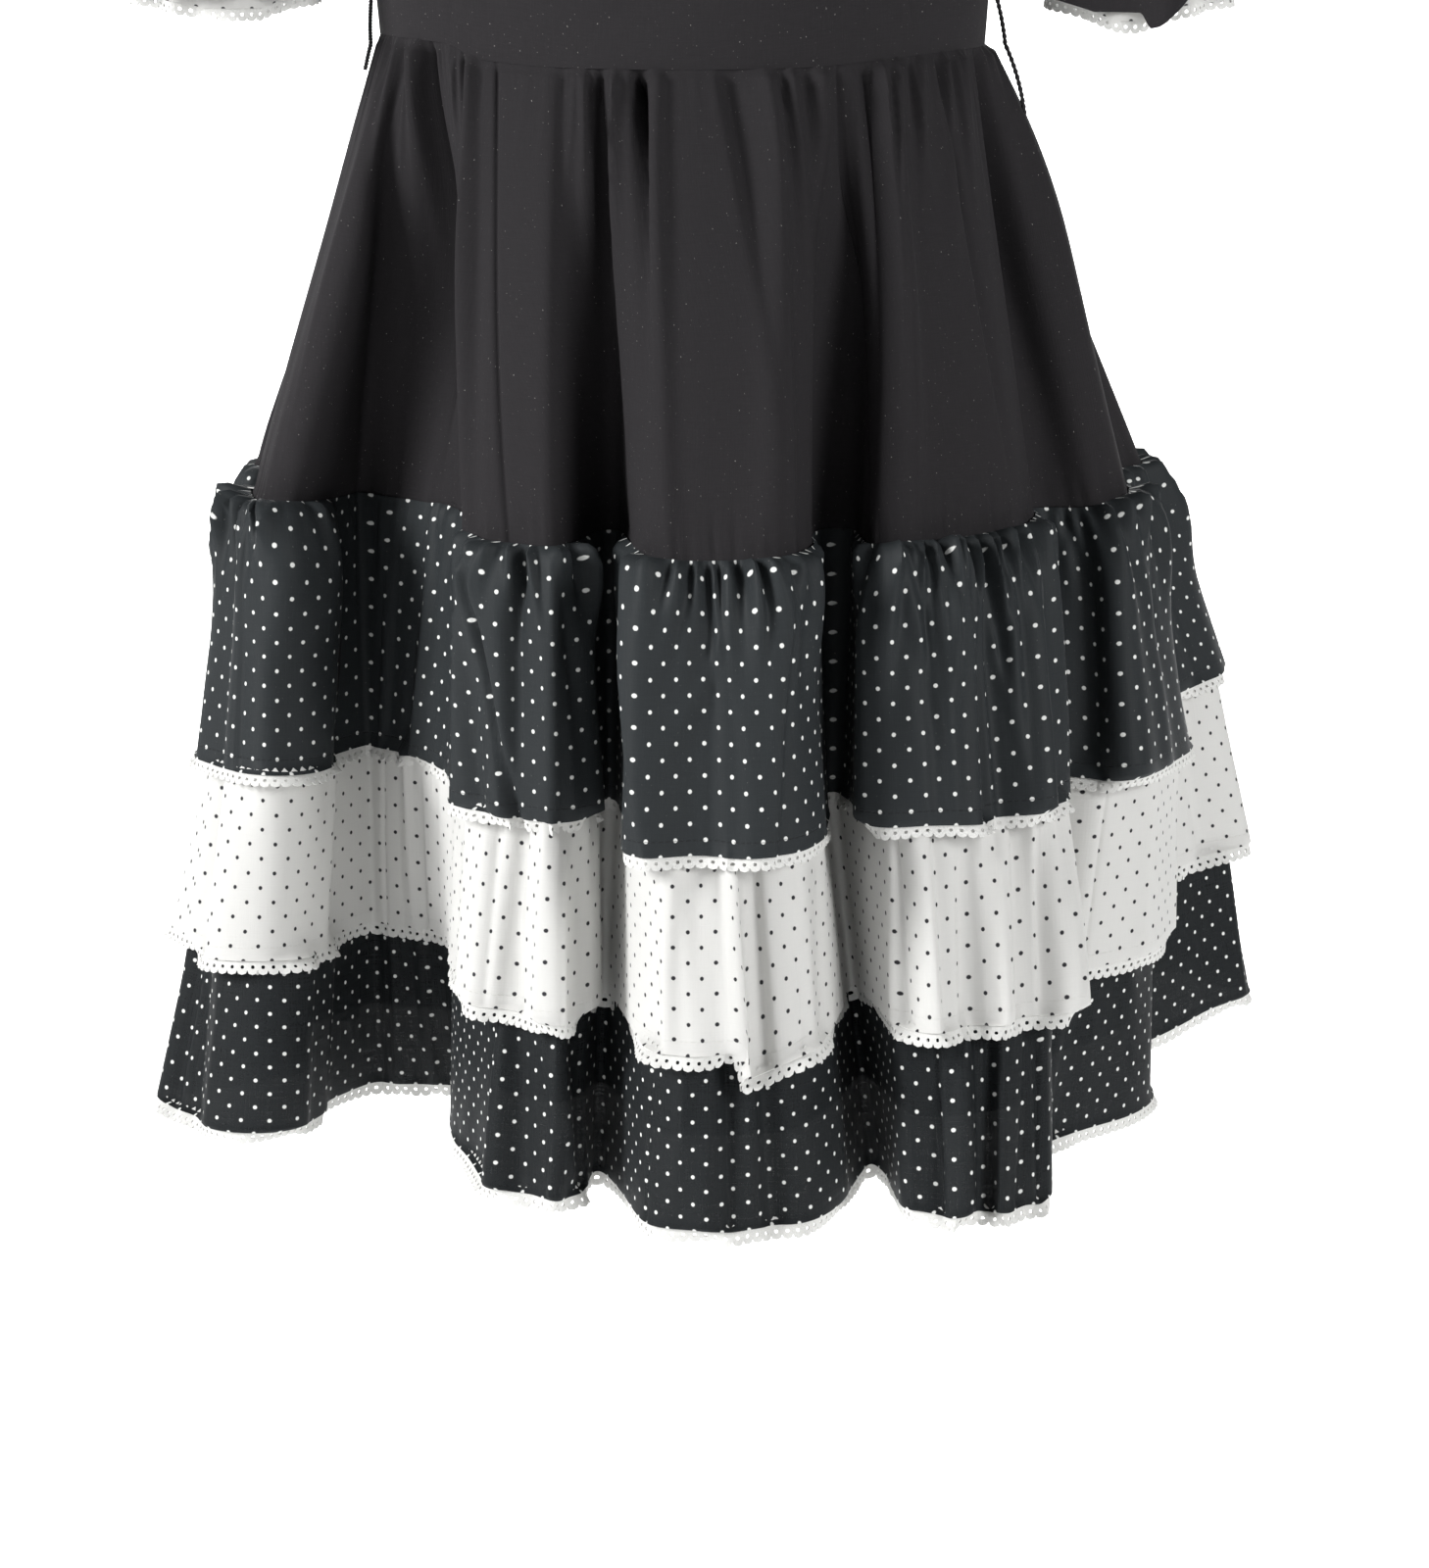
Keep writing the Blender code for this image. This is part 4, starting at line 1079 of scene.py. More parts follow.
def low_hem(ruffle, cloth):
    start, end, more = LOW_HEMS.get(ruffle.name, (0.0, 1.0, 0.0))
    return more * ease((cloth - start) / LOW_HEM_BLENDS[0]) * ease((end - cloth) / LOW_HEM_BLENDS[1])


def hidden_share(number, drops):
    """1 where the ruffle above covers this one. It fades to 0 near that ruffle's hem."""
    if number == 1:
        return np.zeros(len(drops))
    return 1.0 - ease((drops - RUFFLES[number - 2].sections[-1].drop) / COVERED_BLEND + COVERED_LEAD)


def ruffle_surface(number, cloth, drops):
    """Points of a ruffle, how far its folds lift them, and how far it then stands off the innermost cloth."""
    ruffle = RUFFLES[number - 1]
    top, hem = ruffle.sections[0].drop, ruffle.sections[-1].drop
    points, stand = layer_points(layer_net(ruffle.sections, ruffle.phase), ruffle.sections, cloth, drops)
    depths = drops - top
    crown = crown_share(cloth)
    lift = ridge_heights(ruffle_ridges(number), cloth, depths, RUFFLE_RISE)
    lift += ridge_heights(FORWARD_FOLDS[ruffle.name], cloth, depths, FORWARD_RISE)
    lift += ridge_heights(scattered(number, HEM_FOLDS), cloth, (hem - top) - depths, HEM_RISE)
    bulge = BULGE * ease(depths / BULGE_RISE) * np.exp(-((depths / BULGE_REACH) ** 2))
    left = FURROW_SHARE + (1.0 - FURROW_SHARE) * crown**FURROW_POWER
    lift = (lift + bulge[:, None]) * left[None, :]
    hidden = hidden_share(number, drops)[:, None]
    lift = lift * (1.0 - COVERED_FLATTER * hidden)
    lift = lift * ease(depths / 0.004 + 0.30)[:, None]
    lift = np.maximum(lift, stand_inside(number, cloth, drops) + LEAST_APART - stand)
    lift -= hidden * (COVERED_SINKS[0] + COVERED_SINKS[1] * (1.0 - crown))[None, :]
    share = np.clip(depths / (hem - top), 0.0, 1.0)
    points[..., 2] -= low_hem(ruffle, cloth)[None, :] * (share**3)[:, None]
    return points, lift + ridge_heights(DEEP_FOLDS, cloth, drops, DEEP_RISE), stand + lift


def stand_inside(number, cloth, drops):
    """How far the next ruffle in stands off the innermost cloth, where there is one at these drops."""
    if number == len(RUFFLES):
        return np.zeros((len(drops), len(cloth)))
    inner = RUFFLES[number].sections
    below = np.clip(drops, inner[0].drop, inner[-1].drop)
    _, _, stand = ruffle_surface(number + 1, cloth, below)
    return np.where((drops >= inner[0].drop - 0.004)[:, None], stand, 0.0)


def ruffle_drops(ruffle):
    """Rows of a ruffle, closer together at the gathers and at the hem."""
    top, hem = ruffle.sections[0].drop, ruffle.sections[-1].drop
    inner = np.linspace(0.0, 1.0, RUFFLE_ROWS) ** 1.35
    return top + (hem - top) * np.concatenate([inner[:-1], [0.985, 1.0]])


def ruffle_columns(start, end):
    """Columns of a strip: closer together in front, and at its two seams."""
    cells = np.arange(start, end, CELL)
    counts = [FRONT_CELL if cell % WAVES < FRONT_END else BACK_CELL for cell in cells]
    places = np.concatenate([cell + CELL * np.arange(count) / count for cell, count in zip(cells, counts)])
    close = np.array((0.007, 0.016))
    return np.concatenate([[start], start + close, places[1:], end - close[::-1], [end]])


def make_ruffle(number, ruffle):
    ends = ruffle.joins + (ruffle.joins[0] + WAVES,)
    top, hem = ruffle.sections[0].drop, ruffle.sections[-1].drop
    drops = ruffle_drops(ruffle)
    for strip, (start, end) in enumerate(zip(ends, ends[1:]), start=1):
        points, lift, _ = ruffle_surface(number, ruffle_columns(start, end), drops)
        points = raised(points, lift + edge_roll(arc_lengths(points[-1]), *STRIP_SEAM)[None, :])
        lengths = arc_lengths(points[-1])
        lay_cloth(f"ruffle_{ruffle.name}_{strip}", points, lengths, (hem - drops)[:, None], ruffle.cloth,
                  (lengths[-1], (hem - top) * RUFFLE_LONGER))
    print("ruffle", ruffle.name, "strips:", len(ruffle.joins))


for number, ruffle in enumerate(RUFFLES, start=1):
    make_ruffle(number, ruffle)

# %% [markdown]
# The lace is a narrow crocheted edging. One loop is modelled: a ring that is square inside and
# scalloped below, given thickness by a modifier. Its plain heading is caught behind the hem. It is then
# set down some hundreds of times along each hem, bent to the hem's curve.

# %% One loop of lace
LOOP_WIDTH = 0.0050
LOOP_DEPTH = 0.0065
LOOP_HEADING = 0.0045
LOOP_CENTRE = 0.0030
LOOP_HOLE = 0.00085
LOOP_CORNERS = 12
LOOP_THICKNESS = 0.0007
PICOT = 0.07
PICOTS_ROUND = 10.0


def edit_whole(operator, **settings):
    """Runs one edit mode operator on the whole of the active piece."""
    bpy.ops.object.mode_set(mode="EDIT")
    bpy.ops.mesh.select_all(action="SELECT")
    operator(**settings)
    bpy.ops.object.mode_set(mode="OBJECT")


def loop_edge(x, y):
    """How far the edge of a loop is from its eyelet in this direction: square above, scalloped below."""
    beside = LOOP_WIDTH / 2 / max(abs(x), 1e-6)
    if y > -0.2:
        return min(beside, (LOOP_CENTRE + LOOP_HEADING) / max(y, 1e-6))
    picot = PICOT * math.cos(PICOTS_ROUND * math.atan2(x, -y))
    return min((LOOP_DEPTH - LOOP_CENTRE) * (1.0 + picot), beside)


def model_lace_loop():
    bpy.ops.mesh.primitive_circle_add(vertices=LOOP_CORNERS, radius=1.0, location=(0.0, 0.0, 0.0))
    loop = bpy.context.object
    edit_whole(bpy.ops.mesh.extrude_edges_move)
    for vertex in loop.data.vertices:
        x, y = vertex.co.x, vertex.co.y
        if vertex.index < LOOP_CORNERS:
            reach = LOOP_HOLE / max(abs(x), abs(y)) ** 0.7
        else:
            reach = loop_edge(x, y)
        vertex.co = (x * reach, y * reach - LOOP_CENTRE, 0.0)
    wall = loop.modifiers.new("wall", "SOLIDIFY")
    wall.thickness = LOOP_THICKNESS
    wall.offset = 0.0
    bpy.ops.object.modifier_apply(modifier="wall")
    edit_whole(bpy.ops.mesh.normals_make_consistent, inside=False)
    corners = np.array([tuple(vertex.co) for vertex in loop.data.vertices])
    faces = [tuple(face.vertices) for face in loop.data.polygons]
    bpy.data.objects.remove(loop, do_unlink=True)
    return corners, faces


LACE_CORNERS, LACE_FACES = model_lace_loop()
print("faces in one loop of lace:", len(LACE_FACES))

# %% [markdown]
# To bend the loops to a hem, each corner is placed by three directions there: along the hem, down the
# cloth, and out of it.

# %% Lace along the hems
LACE_BEHIND = 0.0015
LACE_CREASE_DEGREES = 50.0
UPPER_LACE_DEPTH = 0.0056
LACE_DEPTH = 0.0064
LACE_PLACES = 40


def hem_frame(edge, above):
    """Lengths along a closed hem, with the directions down the cloth and out of it."""
    ring = np.concatenate([edge, edge[:1]])
    lengths = arc_lengths(ring)
    down = unit(edge - above)
    along = unit(np.roll(edge, -1, 0) - np.roll(edge, 1, 0))
    out = unit(np.cross(down, along))
    return ring, lengths, *(np.concatenate([values, values[:1]]) for values in (down, out))


def at_length(lengths, values, wanted):
    return np.stack([np.interp(wanted % lengths[-1], lengths, values[:, k]) for k in range(3)], -1)


def lace_strip(name, edge, above, depth):
    """A strip of lace loops round a closed hem. depth is how far it hangs below."""
    ring, lengths, down, out = hem_frame(edge, above)
    count = int(round(lengths[-1] / LOOP_WIDTH))
    step = lengths[-1] / count
    hang = -LACE_CORNERS[:, 1]
    hang = np.where(hang > 0.0, hang * depth / LOOP_DEPTH, hang)
    starts = (np.arange(count) * step)[:, None] + LACE_CORNERS[None, :, 0] * step / LOOP_WIDTH
    starts = starts.ravel()
    lower = np.tile(hang, count)[:, None]
    front = np.tile(LACE_CORNERS[:, 2] - LACE_BEHIND, count)[:, None]
    points = at_length(lengths, ring, starts) + lower * at_length(lengths, down, starts)
    points = points + front * at_length(lengths, out, starts)
    faces = np.concatenate([np.array(LACE_FACES) + k * len(LACE_CORNERS) for k in range(count)])
    return new_piece(name, points, faces.tolist(), LACE, LACE_CREASE_DEGREES), float(lengths[-1])


def add_lace(name, edge, above, depth):
    piece, length = lace_strip(f"{name}_loops", edge, above, depth)
    stand_for(piece, name)
    print(name, "%.2f m" % length)


for number, ruffle in enumerate(RUFFLES, start=1):
    round_hem = np.arange(0.0, WAVES, 1.0 / LACE_PLACES)
    hem = ruffle.sections[-1].drop
    points, lift, _ = ruffle_surface(number, round_hem, np.array([hem - 0.010, hem - 0.005, hem]))
    points = raised(points, lift, rings=True)
    depth = UPPER_LACE_DEPTH if ruffle.name == "upper" else LACE_DEPTH
    add_lace(f"lace_{ruffle.name}", points[-1], points[-2], depth)

# %% [markdown]
# The bodice fits the body. In front it has a centre panel between two princess seams, and a panel at
# each side; behind, two panels meet in a lapped closing at the centre. Only its lowest part shows in
# the picture, and the rest is plain.

# %% The bodice
Level = namedtuple("Level", "rise half_width front back")
BODICE_LEVELS = (
    Level(0.000, WAIST_HALF_WIDTH, WAIST_HALF_DEPTH, WAIST_HALF_DEPTH),
    Level(0.070, 0.147, 0.109, 0.103),
    Level(0.150, 0.157, 0.131, 0.106),
    Level(0.205, 0.157, 0.127, 0.111),
    Level(0.280, 0.160, 0.101, 0.109),
    Level(0.350, 0.169, 0.062, 0.084),
    Level(0.385, 0.175, 0.028, 0.044),
    Level(0.400, 0.178, 0.0, 0.0),
)
SHOULDER_RISE = 0.400
UNDERARM_RISE = 0.205
SHOULDER_SLOPE = 0.42
NECK_POINT_X = 0.085
PRINCESS_RISES = (0.0, 0.15, 0.28, 0.40)
PRINCESS_DEGREES = (48.0, 34.0, 36.0, 42.0)
NECK_DEGREES = 28.5
ARMHOLE_DEGREES = 68.0
FRONT_NECK_RISE = 0.290
BACK_NECK_RISE = 0.372
BODICE_DIP_GONE_BY = 0.07
BODICE_CREASES = 9
# How much wider and longer each panel's cloth was before it was cut to shape
PANEL_MORE = (1.01, 1.30)
PANEL_SEAM = (0.0008, 0.0018)
# How sharply the shoulder's slope, the neckline and the armhole bend
SLOPE_POWER = 3
NECK_POWER = 3
ARMHOLE_POWER = 2.5


def through_levels(rise, rises, values):
    """A smooth curve through the levels' values."""
    rises, values = np.array(rises), np.array(values)
    step = np.clip(np.searchsorted(rises, rise) - 1, 0, len(rises) - 2)
    width = rises[step + 1] - rises[step]
    part = np.clip((rise - rises[step]) / width, 0.0, 1.0)
    slopes = np.gradient(values, rises)
    ends = values[step] + (values[step + 1] - values[step]) * ease(part)
    bend = slopes[step] * (1.0 - part) - slopes[step + 1] * part
    return ends + width * part * (1.0 - part) * bend


def bodice_point(degrees, rise, side):
    """A point of the bodice's outer face. side is -1 on the front and 1 on the back."""
    rises = [level.rise for level in BODICE_LEVELS]
    width = through_levels(rise, rises, [level.half_width for level in BODICE_LEVELS])
    depth = through_levels(rise, rises, [level.front if side < 0 else level.back for level in BODICE_LEVELS])
    angle = np.radians(degrees)
    x = width * np.sin(angle)
    y = side * depth * np.cos(angle)
    slope = SHOULDER_SLOPE * np.clip(np.abs(x) - NECK_POINT_X, 0.0, None)
    z = WAIST_Z + rise - slope * (rise / SHOULDER_RISE) ** SLOPE_POWER
    z = z - waist_seam_dip(x, y) * np.clip(1.0 - rise / BODICE_DIP_GONE_BY, 0.0, 1.0)
    return np.stack([x, y, z], -1)


def neck_rise(share, lowest):
    return lowest + (SHOULDER_RISE - lowest) * np.clip(np.abs(share), 0.0, 1.0) ** NECK_POWER


def armhole_rise(share):
    return UNDERARM_RISE + (SHOULDER_RISE - UNDERARM_RISE) * (1.0 - np.clip(share, 0.0, 1.0)) ** ARMHOLE_POWER


def panel_degrees(kind, share, rise):
    edge = np.interp(rise, PRINCESS_RISES, PRINCESS_DEGREES)
    if kind == "centre":
        return share * edge
    if kind == "side":
        return edge + share * (90.0 - edge)
    return share * 90.0


def panel_top(kind, share):
    if kind == "centre":
        return neck_rise(share / (NECK_DEGREES / PRINCESS_DEGREES[-1]), FRONT_NECK_RISE)
    if kind == "back":
        start = ARMHOLE_DEGREES / 90.0
        neck = neck_rise(share / (NECK_DEGREES / 90.0), BACK_NECK_RISE)
        return np.minimum(neck, armhole_rise((share - start) / (1.0 - start)))
    start = (ARMHOLE_DEGREES - PRINCESS_DEGREES[-1]) / (90.0 - PRINCESS_DEGREES[-1])
    return armhole_rise((share - start) / (1.0 - start))

# %% [markdown]
# Each panel of the bodice is a grid that goes from the waist up to the neck or the armhole. A few
# soft pulls cross it, and its edges turn in a little along the seams.

# %% Making the bodice's panels
def bodice_creases(number):
    """Soft pulls across a panel. Each has a height, a slant, a width and how far it stands out."""
    chance = np.random.default_rng(400 + number)
    limits = ((0.0, 1.0), (-0.5, 0.5), (0.03, 0.07), (-0.0012, 0.0014))
    return [[chance.uniform(*pair) for pair in limits] for _ in range(BODICE_CREASES)]


def panel_lift(number, points, rise):
    """How far soft pulls lift a panel, and how far it turns in at its seams."""
    lift = edge_roll(arc_lengths(points[-1]), *PANEL_SEAM)[None, :] * np.ones((len(points), 1))
    place = np.linspace(0.0, 1.0, points.shape[1])[None, :]
    for at, slant, width, height in bodice_creases(number):
        line = rise / SHOULDER_RISE - at - slant * (place - 0.5)
        lift = lift + height * np.exp(-((line / width) ** 2)) * ease(place * 4) * ease((1.0 - place) * 4)
    return lift * ease(rise / 0.03 + 0.1)


def make_bodice_panel(name, kind, mirror, side, number):
    """One panel. mirror is -1 at the wearer's right, and side is -1 in front."""
    shares = np.linspace(-1.0, 1.0, 71) if kind == "centre" else np.linspace(0.0, 1.0, 49)
    rows = np.concatenate([[0.0, 0.004], np.linspace(0.01, 0.985, 40), [0.994, 1.0]])[::-1]
    rise = rows[:, None] * panel_top(kind, shares)[None, :]
    points = bodice_point(panel_degrees(kind, shares[None, :], rise) * mirror, rise, side)
    if mirror * side > 0:
        points, rise = points[:, ::-1], rise[:, ::-1]
    points = raised(points, panel_lift(number, points, rise))
    widths = np.array([arc_lengths(row) for row in points])
    up = arc_lengths(points[:, points.shape[1] // 2])
    flat = (widths.max() * PANEL_MORE[0], up[-1] * PANEL_MORE[1])
    lay_cloth(name, points, widths - widths[:, -1:] / 2, (up[-1] - up)[:, None], PLAIN_BLACK_CLOTH, flat,
              sheet_area(points))


make_bodice_panel("bodice_front_centre", "centre", 1, -1, 0)
for number, (name, mirror) in enumerate((("left", 1), ("right", -1))):
    make_bodice_panel(f"bodice_front_{name}", "side", mirror, -1, 1 + number)
    make_bodice_panel(f"bodice_back_{name}", "back", mirror, 1, 3 + number)
print("bodice panels made")

# %% [markdown]
# The sleeves are set into the armholes and end at the elbow in two ruffles, black over dotted white,
# with the same lace. Only their tips show at the top corners of the picture.

# %% The sleeves
ELBOW_X = 0.214
ELBOW_Y = -0.008
SLEEVE_END_Z = -0.330
SLEEVE_END_RADIUS = 0.044
CAP_PUFF = 0.022
SLEEVE_COLUMNS = 72
SLEEVE_ROWS = 44
SLEEVE_CREASES = 16
SLEEVE_MIDDLE_ROW = 20
SLEEVE_MORE = 1.25
OFF_ARMHOLE = 0.0014
CAP_RISE = 0.012
CAP_DROP = 0.006
CREASE_WIDTH = 0.05
CREASE_LENGTH = 0.16
UNDERARM_CLEARANCE = 0.0018
SLEEVE_WAVES = 8
SLEEVE_RUFFLE_COLUMNS = 288
SLEEVE_RUFFLE_ROWS = 14
ARMHOLE_SPACING = 1.4
SLEEVE_GATHERS = 46
GATHER_WIDTH = 0.007
GATHER_HEIGHTS = (0.0006, 0.0020)
GATHER_REACHES = (0.006, 0.030)
GATHER_START = 0.003
# What makes the waves uneven: how many bends there are round the arm, and how far each shifts a wave
WAVE_SHIFTS = ((2, 0.16), (3, 0.1))
OUTER_PHASE, OUTER_SEED = 0.0, 51
UNDER_PHASE, UNDER_SEED = 0.5, 52
Ring = namedtuple("Ring", "z radius wave")
SLEEVE_RUFFLE = (
    Ring(SLEEVE_END_Z - 0.0003, SLEEVE_END_RADIUS, 0.0),
    Ring(-0.345, 0.0510, 0.0020),
    Ring(-0.384, 0.0545, 0.0042),
)
SLEEVE_UNDER_RUFFLE = (
    Ring(SLEEVE_END_Z - 0.0003, SLEEVE_END_RADIUS - 0.0015, 0.0),
    Ring(-0.3885, 0.0455, 0.0025),
)
SLEEVE_LACE_DEPTH = 0.0056
# How much each sleeve's two hems are raised, from the wearer's right (-1) to left (1): outer, then under
SLEEVE_HEMS = {
    "left": (((-1.0, 0.012), (-0.5, 0.001), (-0.10, 0.001), (-0.03, -0.006), (0.05, -0.005), (0.32, 0.0075),
              (1.0, 0.014)),
             ((-1.0, 0.012), (-0.5, 0.004), (-0.3, 0.0015), (-0.1, 0.0015), (0.3, 0.008), (1.0, 0.014))),
    "right": (((-1.0, 0.012), (-0.2, 0.008), (0.3, 0.0075), (0.7, 0.009), (1.0, 0.013)),
              ((-1.0, 0.015), (-0.3, 0.0095), (-0.1, 0.0072), (0.5, 0.007), (0.75, 0.011), (1.0, 0.014))),
}


def armhole_ring(mirror):
    ring = []
    for place in np.arange(SLEEVE_COLUMNS) / SLEEVE_COLUMNS * 2.0:
        side = -1 if place < 1.0 else 1
        share = (place if place < 1.0 else 2.0 - place) ** ARMHOLE_SPACING
        degrees = ARMHOLE_DEGREES + share * (90.0 - ARMHOLE_DEGREES)
        ring.append(bodice_point(np.array(degrees * mirror), np.array(armhole_rise(share)), side))
    return np.array(ring)


def arm_circle(columns, mirror):
    turn = np.arange(columns) / columns * 2.0 * np.pi
    return np.stack([mirror * np.cos(turn), -np.sin(turn), np.zeros(columns)], -1)


def sleeve_creases(mirror, steps):
    """How far soft creases lift a sleeve, none of them at its two ends."""
    chance = np.random.default_rng(31 if mirror > 0 else 32)
    turn = np.arange(SLEEVE_COLUMNS) / SLEEVE_COLUMNS
    lift = np.zeros((len(steps), SLEEVE_COLUMNS))
    for _ in range(SLEEVE_CREASES):
        at, height = chance.uniform(0.0, 1.0), chance.uniform(-0.0022, 0.0022)
        line, slant = chance.uniform(0.15, 0.95), chance.uniform(-0.6, 0.6)
        beside = (turn[None, :] - at + 0.5) % 1.0 - 0.5
        off = steps - line - slant * beside
        lift = lift + height * np.exp(-((off / CREASE_WIDTH) ** 2) - (beside / CREASE_LENGTH) ** 2)
    return lift * ease(steps * 6) * ease((1.0 - steps) * 10)


def sleeve_grid(mirror, steps):
    """Points of a smooth sleeve, which bends from the armhole to the elbow."""
    circle = arm_circle(SLEEVE_COLUMNS, mirror)
    root = armhole_ring(mirror)
    inner_side = np.clip(-mirror * circle[:, 0], 0.0, 1.0)
    around = unit((root - root.mean(axis=0)) * (0.0, 1.0, 1.0))
    start = root + np.array([mirror, 0.0, 0.0]) * (BESIDE + UNDERARM_CLEARANCE * inner_side)[:, None]
    start = start + around * OFF_ARMHOLE
    end = np.array([mirror * ELBOW_X, ELBOW_Y, SLEEVE_END_Z]) + circle * SLEEVE_END_RADIUS
    puff = circle * (CAP_PUFF * (1.0 - inner_side))[:, None]
    bend = np.column_stack([end[:, :2] + puff[:, :2], start[:, 2] + CAP_RISE * (1.0 - inner_side) - CAP_DROP])
    share = steps[..., None]
    points = (1.0 - share) ** 2 * start + 2.0 * share * (1.0 - share) * bend + share**2 * end
    return points[:, ::-1] if mirror > 0 else points


def make_sleeve(name, mirror):
    steps = np.linspace(0.0, 1.0, SLEEVE_ROWS)[:, None]
    points = raised(sleeve_grid(mirror, steps), sleeve_creases(mirror, steps), rings=True)
    closed = np.concatenate([points, points[:, :1]], axis=1)
    widths = arc_lengths(closed[SLEEVE_MIDDLE_ROW])
    up = arc_lengths(points[:, 0])
    lay_cloth(f"sleeve_{name}", points, widths[:-1], (up[-1] - up)[:, None], PLAIN_BLACK_CLOTH,
              (widths[-1] * SLEEVE_MORE, up[-1] * SLEEVE_MORE),
              sheet_area(closed), rings=True)

# %% [markdown]
# A sleeve ruffle is a short tube round the arm. Narrow gathers fade out below its top, and short
# waves grow towards its hem. A list says how far that hem is raised at each place, so that the tips
# hang as they do in the picture.

# %% The sleeve ruffles
def sleeve_gathers(chance, depth, turn):
    """How far narrow ridges lift a sleeve ruffle. They fade out below its stitches."""
    lift = np.zeros((len(depth), len(turn)))
    for _ in range(SLEEVE_GATHERS):
        at, height, reach = chance.uniform(), chance.uniform(*GATHER_HEIGHTS), chance.uniform(*GATHER_REACHES)
        beside = (turn - at + 0.5) % 1.0 - 0.5
        ridge = height * np.exp(-((beside / GATHER_WIDTH) ** 2))
        lift += ridge[None, :] * np.exp(-((depth / reach) ** 2))[:, None]
    return lift * ease(depth / GATHER_START)[:, None]


def sleeve_ruffle_points(rings, mirror, phase, share, seed, hem):
    """Points of a sleeve ruffle with gathers at its top. hem says how far its edge is raised."""
    heights = np.array([ring.z for ring in rings])
    z = heights[0] + (heights[-1] - heights[0]) * share
    radius = np.interp(-z, -heights, [ring.radius for ring in rings])
    wave = np.interp(-z, -heights, [ring.wave for ring in rings])
    turn = np.arange(SLEEVE_RUFFLE_COLUMNS) / SLEEVE_RUFFLE_COLUMNS
    chance = np.random.default_rng(seed)
    shift = 0.0
    for bends, size in WAVE_SHIFTS:
        shift = shift + size * np.sin(2 * np.pi * (bends * turn + chance.uniform()))
    waves = np.cos(2.0 * np.pi * (SLEEVE_WAVES * turn + phase + shift))
    depth = heights[0] - z
    reach = radius[:, None] + wave[:, None] * waves[None, :] + sleeve_gathers(chance, depth, turn)
    circle = arm_circle(SLEEVE_RUFFLE_COLUMNS, mirror)
    centre = np.array([mirror * ELBOW_X, ELBOW_Y, 0.0])
    points = centre + circle[None] * reach[..., None]
    rise = np.interp(circle[:, 0], *zip(*hem))
    points[..., 2] = z[:, None] + (share**2)[:, None] * rise[None, :]
    return points[:, ::-1] if mirror > 0 else points


def make_sleeve_ruffle(name, rings, mirror, phase, seed, hem, cloth):
    share = np.linspace(0.0, 1.0, SLEEVE_RUFFLE_ROWS) ** 1.4
    points = sleeve_ruffle_points(rings, mirror, phase, share, seed, hem)
    # the strip's two ends meet on the inner side of the arm
    points = np.concatenate([points, points[:, :1]], axis=1)
    lengths = arc_lengths(points[-1])
    up = rings[0].z - rings[-1].z
    lay_cloth(name, points, lengths, (up * (1.0 - share))[:, None], cloth, (lengths[-1], up))


for name, mirror in (("left", 1), ("right", -1)):
    outer_hem, under_hem = SLEEVE_HEMS[name]
    make_sleeve(name, mirror)
    make_sleeve_ruffle(f"sleeve_ruffle_{name}", SLEEVE_RUFFLE, mirror, OUTER_PHASE, OUTER_SEED, outer_hem,
                       PLAIN_BLACK_CLOTH)
    make_sleeve_ruffle(f"sleeve_under_ruffle_{name}", SLEEVE_UNDER_RUFFLE, mirror, UNDER_PHASE, UNDER_SEED,
                       under_hem, DOTTED_WHITE_CLOTH)
    hem_rows = np.array([0.92, 0.96, 1.0])
    edge = sleeve_ruffle_points(SLEEVE_UNDER_RUFFLE, mirror, UNDER_PHASE, hem_rows, UNDER_SEED, under_hem)
    add_lace(f"sleeve_lace_{name}", edge[-1], edge[-2], SLEEVE_LACE_DEPTH)

# %% [markdown]
# At each side seam a slack loop of twisted thread carries a belt. It is two strands wound round each
# other, swept along a curve that starts above the waist and ends below it.

# %% The thread loops
LOOP_THREAD_RADIUS = 0.0012
# Each loop's slack off the cloth, and how far below the waist its lower end is sewn down
LOOPS = {"left": (0.0070, 0.048), "right": (0.0015, 0.012)}
LOOP_TOP = 0.028
LOOP_TURNS = 14
LOOP_RINGS = 180
LOOP_SIDES = 10
LOOP_OFF = 0.0018
LOOP_GAP = 0.0003
LOOP_SWAY = 0.0012
LOOP_BENDS = 7.0
GORE_FLARE = 0.36


def loop_line(name, mirror):
    """The middle of the loop, from above the waist to below it."""
    share = np.linspace(0.0, 1.0, LOOP_RINGS)
    slack, low = LOOPS[name]
    rise = LOOP_TOP - (low + LOOP_TOP) * share
    flare = np.where(rise > 0, LOOP_OFF, LOOP_OFF - GORE_FLARE * rise)
    bow = slack * np.sin(np.pi * share) ** 0.9
    x = mirror * (WAIST_HALF_WIDTH + LOOP_THREAD_RADIUS + LOOP_GAP + flare + bow)
    return np.stack([x, LOOP_SWAY * np.sin(share * LOOP_BENDS), WAIST_Z + rise], -1), share


def twisted_rings(line, share):
    """Rings round the line, pinched in so that they look like two strands wound together."""
    along = unit(np.gradient(line, axis=0))
    side = unit(np.cross(along, (0.0, 1.0, 0.0)))
    front = np.cross(side, along)
    angle = np.arange(LOOP_SIDES) / LOOP_SIDES * 2.0 * np.pi
    twist = share[:, None] * LOOP_TURNS * 2.0 * np.pi
    radius = LOOP_THREAD_RADIUS * (0.55 + 0.45 * np.abs(np.cos(angle[None, :] - twist)))
    return line[:, None] + radius[..., None] * (
        np.cos(angle)[None, :, None] * side[:, None] + np.sin(angle)[None, :, None] * front[:, None])


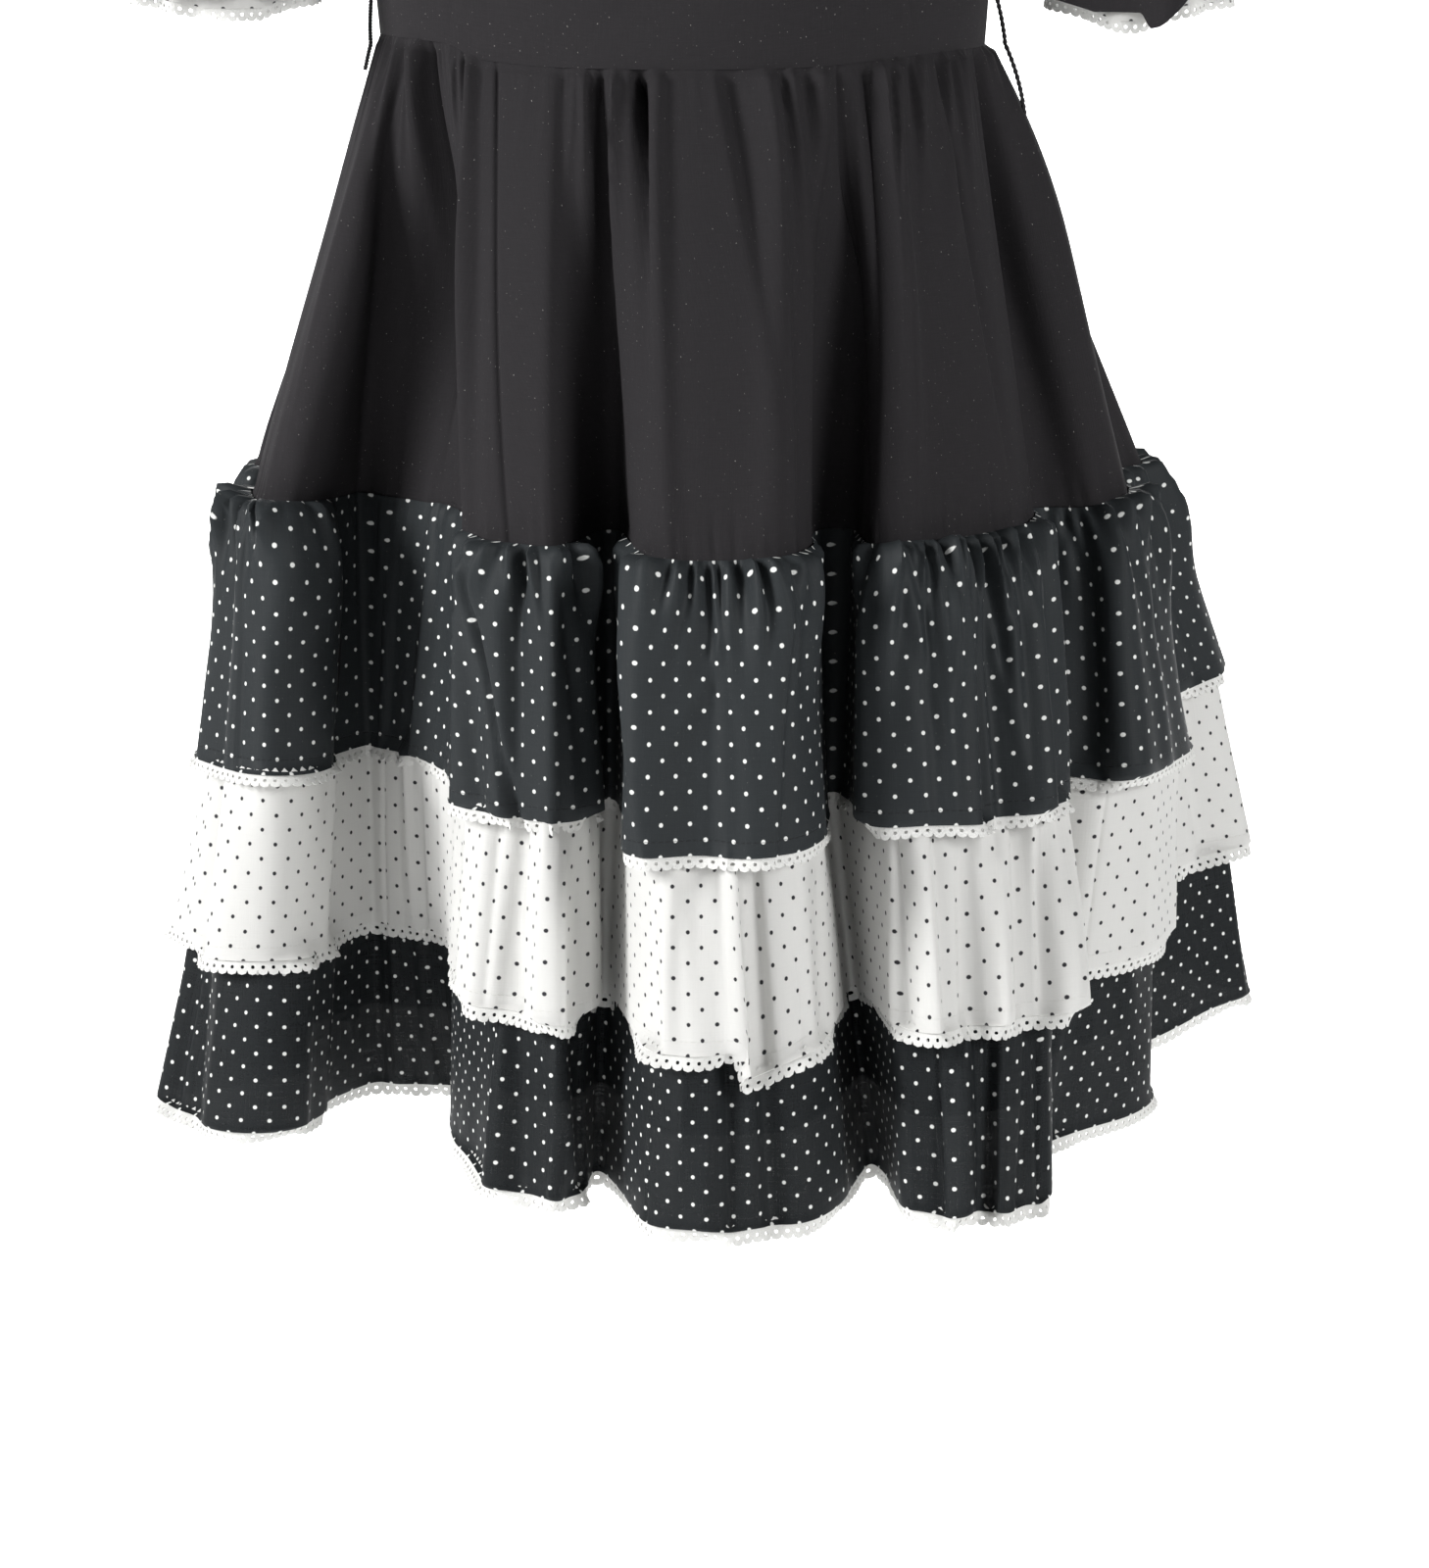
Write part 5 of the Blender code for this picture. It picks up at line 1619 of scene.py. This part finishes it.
def make_thread_loop(name, mirror):
    line, share = loop_line(name, mirror)
    points = twisted_rings(line, share)
    last = (LOOP_RINGS - 1) * LOOP_SIDES
    caps = [list(range(LOOP_SIDES)), list(range(last + LOOP_SIDES - 1, last - 1, -1))]
    faces = grid_quads(LOOP_RINGS, LOOP_SIDES, True).tolist() + caps
    piece = new_piece(f"belt_loop_{name}_thread", points.reshape(-1, 3), faces, THREAD)
    bpy.ops.object.select_all(action="DESELECT")
    piece.select_set(True)
    bpy.context.view_layer.objects.active = piece
    edit_whole(bpy.ops.mesh.normals_make_consistent, inside=False)
    stand_for(piece, f"belt_loop_{name}")


for name, mirror in (("left", 1), ("right", -1)):
    make_thread_loop(name, mirror)

# %% [markdown]
# The picture was taken against plain white in soft light. A big softbox stands in front to the left, a
# weaker one to the right, and the white floor and wall send light up under the skirt.

# %% Stage and lights
FLOOR_Z = -1.45
FLOOR_SIZE = (14.0, 12.0)
WALL_PLACE = (0.0, 6.0, 2.0)
WALL_SIZE = (14.0, 9.0)
STAGE_WHITE = (0.93, 0.93, 0.93, 1.0)
STAGE_SHADE = (0.92, 0.92, 0.92, 1.0)
STAGE_GLOW = 0.35
SKIRT_MIDDLE = (0.0, 0.0, -0.65)
SKY_GLOW = 0.15
# Where each softbox stands, what it points at, how wide and high it is, and its power in watts
SOFTBOXES = {
    "left": ((-2.9, -1.3, 0.75), SKIRT_MIDDLE, (1.0, 1.4), 146.0),
    "right": ((2.3, -2.1, 0.55), SKIRT_MIDDLE, (1.0, 1.4), 66.0),
    "behind": ((0.0, 2.6, 1.4), (0.0, 5.0, -0.6), (4.0, 2.0), 330.0),
}


def stage_finish():
    finish = Finish("white stage", Roughness=0.9, Specular_IOR_Level=0.1)
    tone = finish.noise(finish.object_place(), 0.6, 1.0)
    finish.set(Base_Color=finish.mix(tone, STAGE_SHADE, STAGE_WHITE))
    finish.set(Emission_Color=STAGE_WHITE, Emission_Strength=STAGE_GLOW)
    return finish.material


def add_plane(name, place, width, depth, white, turn=0.0):
    bpy.ops.mesh.primitive_plane_add(size=1.0, location=place, rotation=(math.radians(turn), 0.0, 0.0))
    plane = bpy.context.object
    plane.name = name
    plane.scale = (width, depth, 1.0)
    bpy.ops.object.transform_apply(location=True, rotation=True, scale=True)
    plane.data.materials.append(white)
    return plane


def add_stage():
    white = stage_finish()
    floor = add_plane("floor", (0.0, 0.0, FLOOR_Z), *FLOOR_SIZE, white)
    wall = add_plane("backdrop", WALL_PLACE, *WALL_SIZE, white, 90.0)


def add_softbox(name, place, aim, size, power):
    bpy.ops.object.light_add(type="AREA", location=place)
    lamp = bpy.context.object
    lamp.name = name
    lamp.data.shape = "RECTANGLE"
    lamp.data.size, lamp.data.size_y = size
    lamp.data.energy = power
    way = np.array(aim, float) - np.array(place, float)
    flat = math.hypot(way[0], way[1])
    lamp.rotation_euler = (math.atan2(flat, -way[2]), 0.0, math.atan2(way[1], way[0]) - math.pi / 2)


add_stage()
for name, softbox in SOFTBOXES.items():
    add_softbox(name, *softbox)
sky = bpy.data.worlds.new("white room")
bpy.context.scene.world = sky
sky.use_nodes = True
background = sky.node_tree.nodes["Background"]
background.inputs["Color"].default_value = (1.0, 1.0, 1.0, 1.0)
background.inputs["Strength"].default_value = SKY_GLOW
bpy.context.scene.view_settings.view_transform = "Standard"
print("lights set")
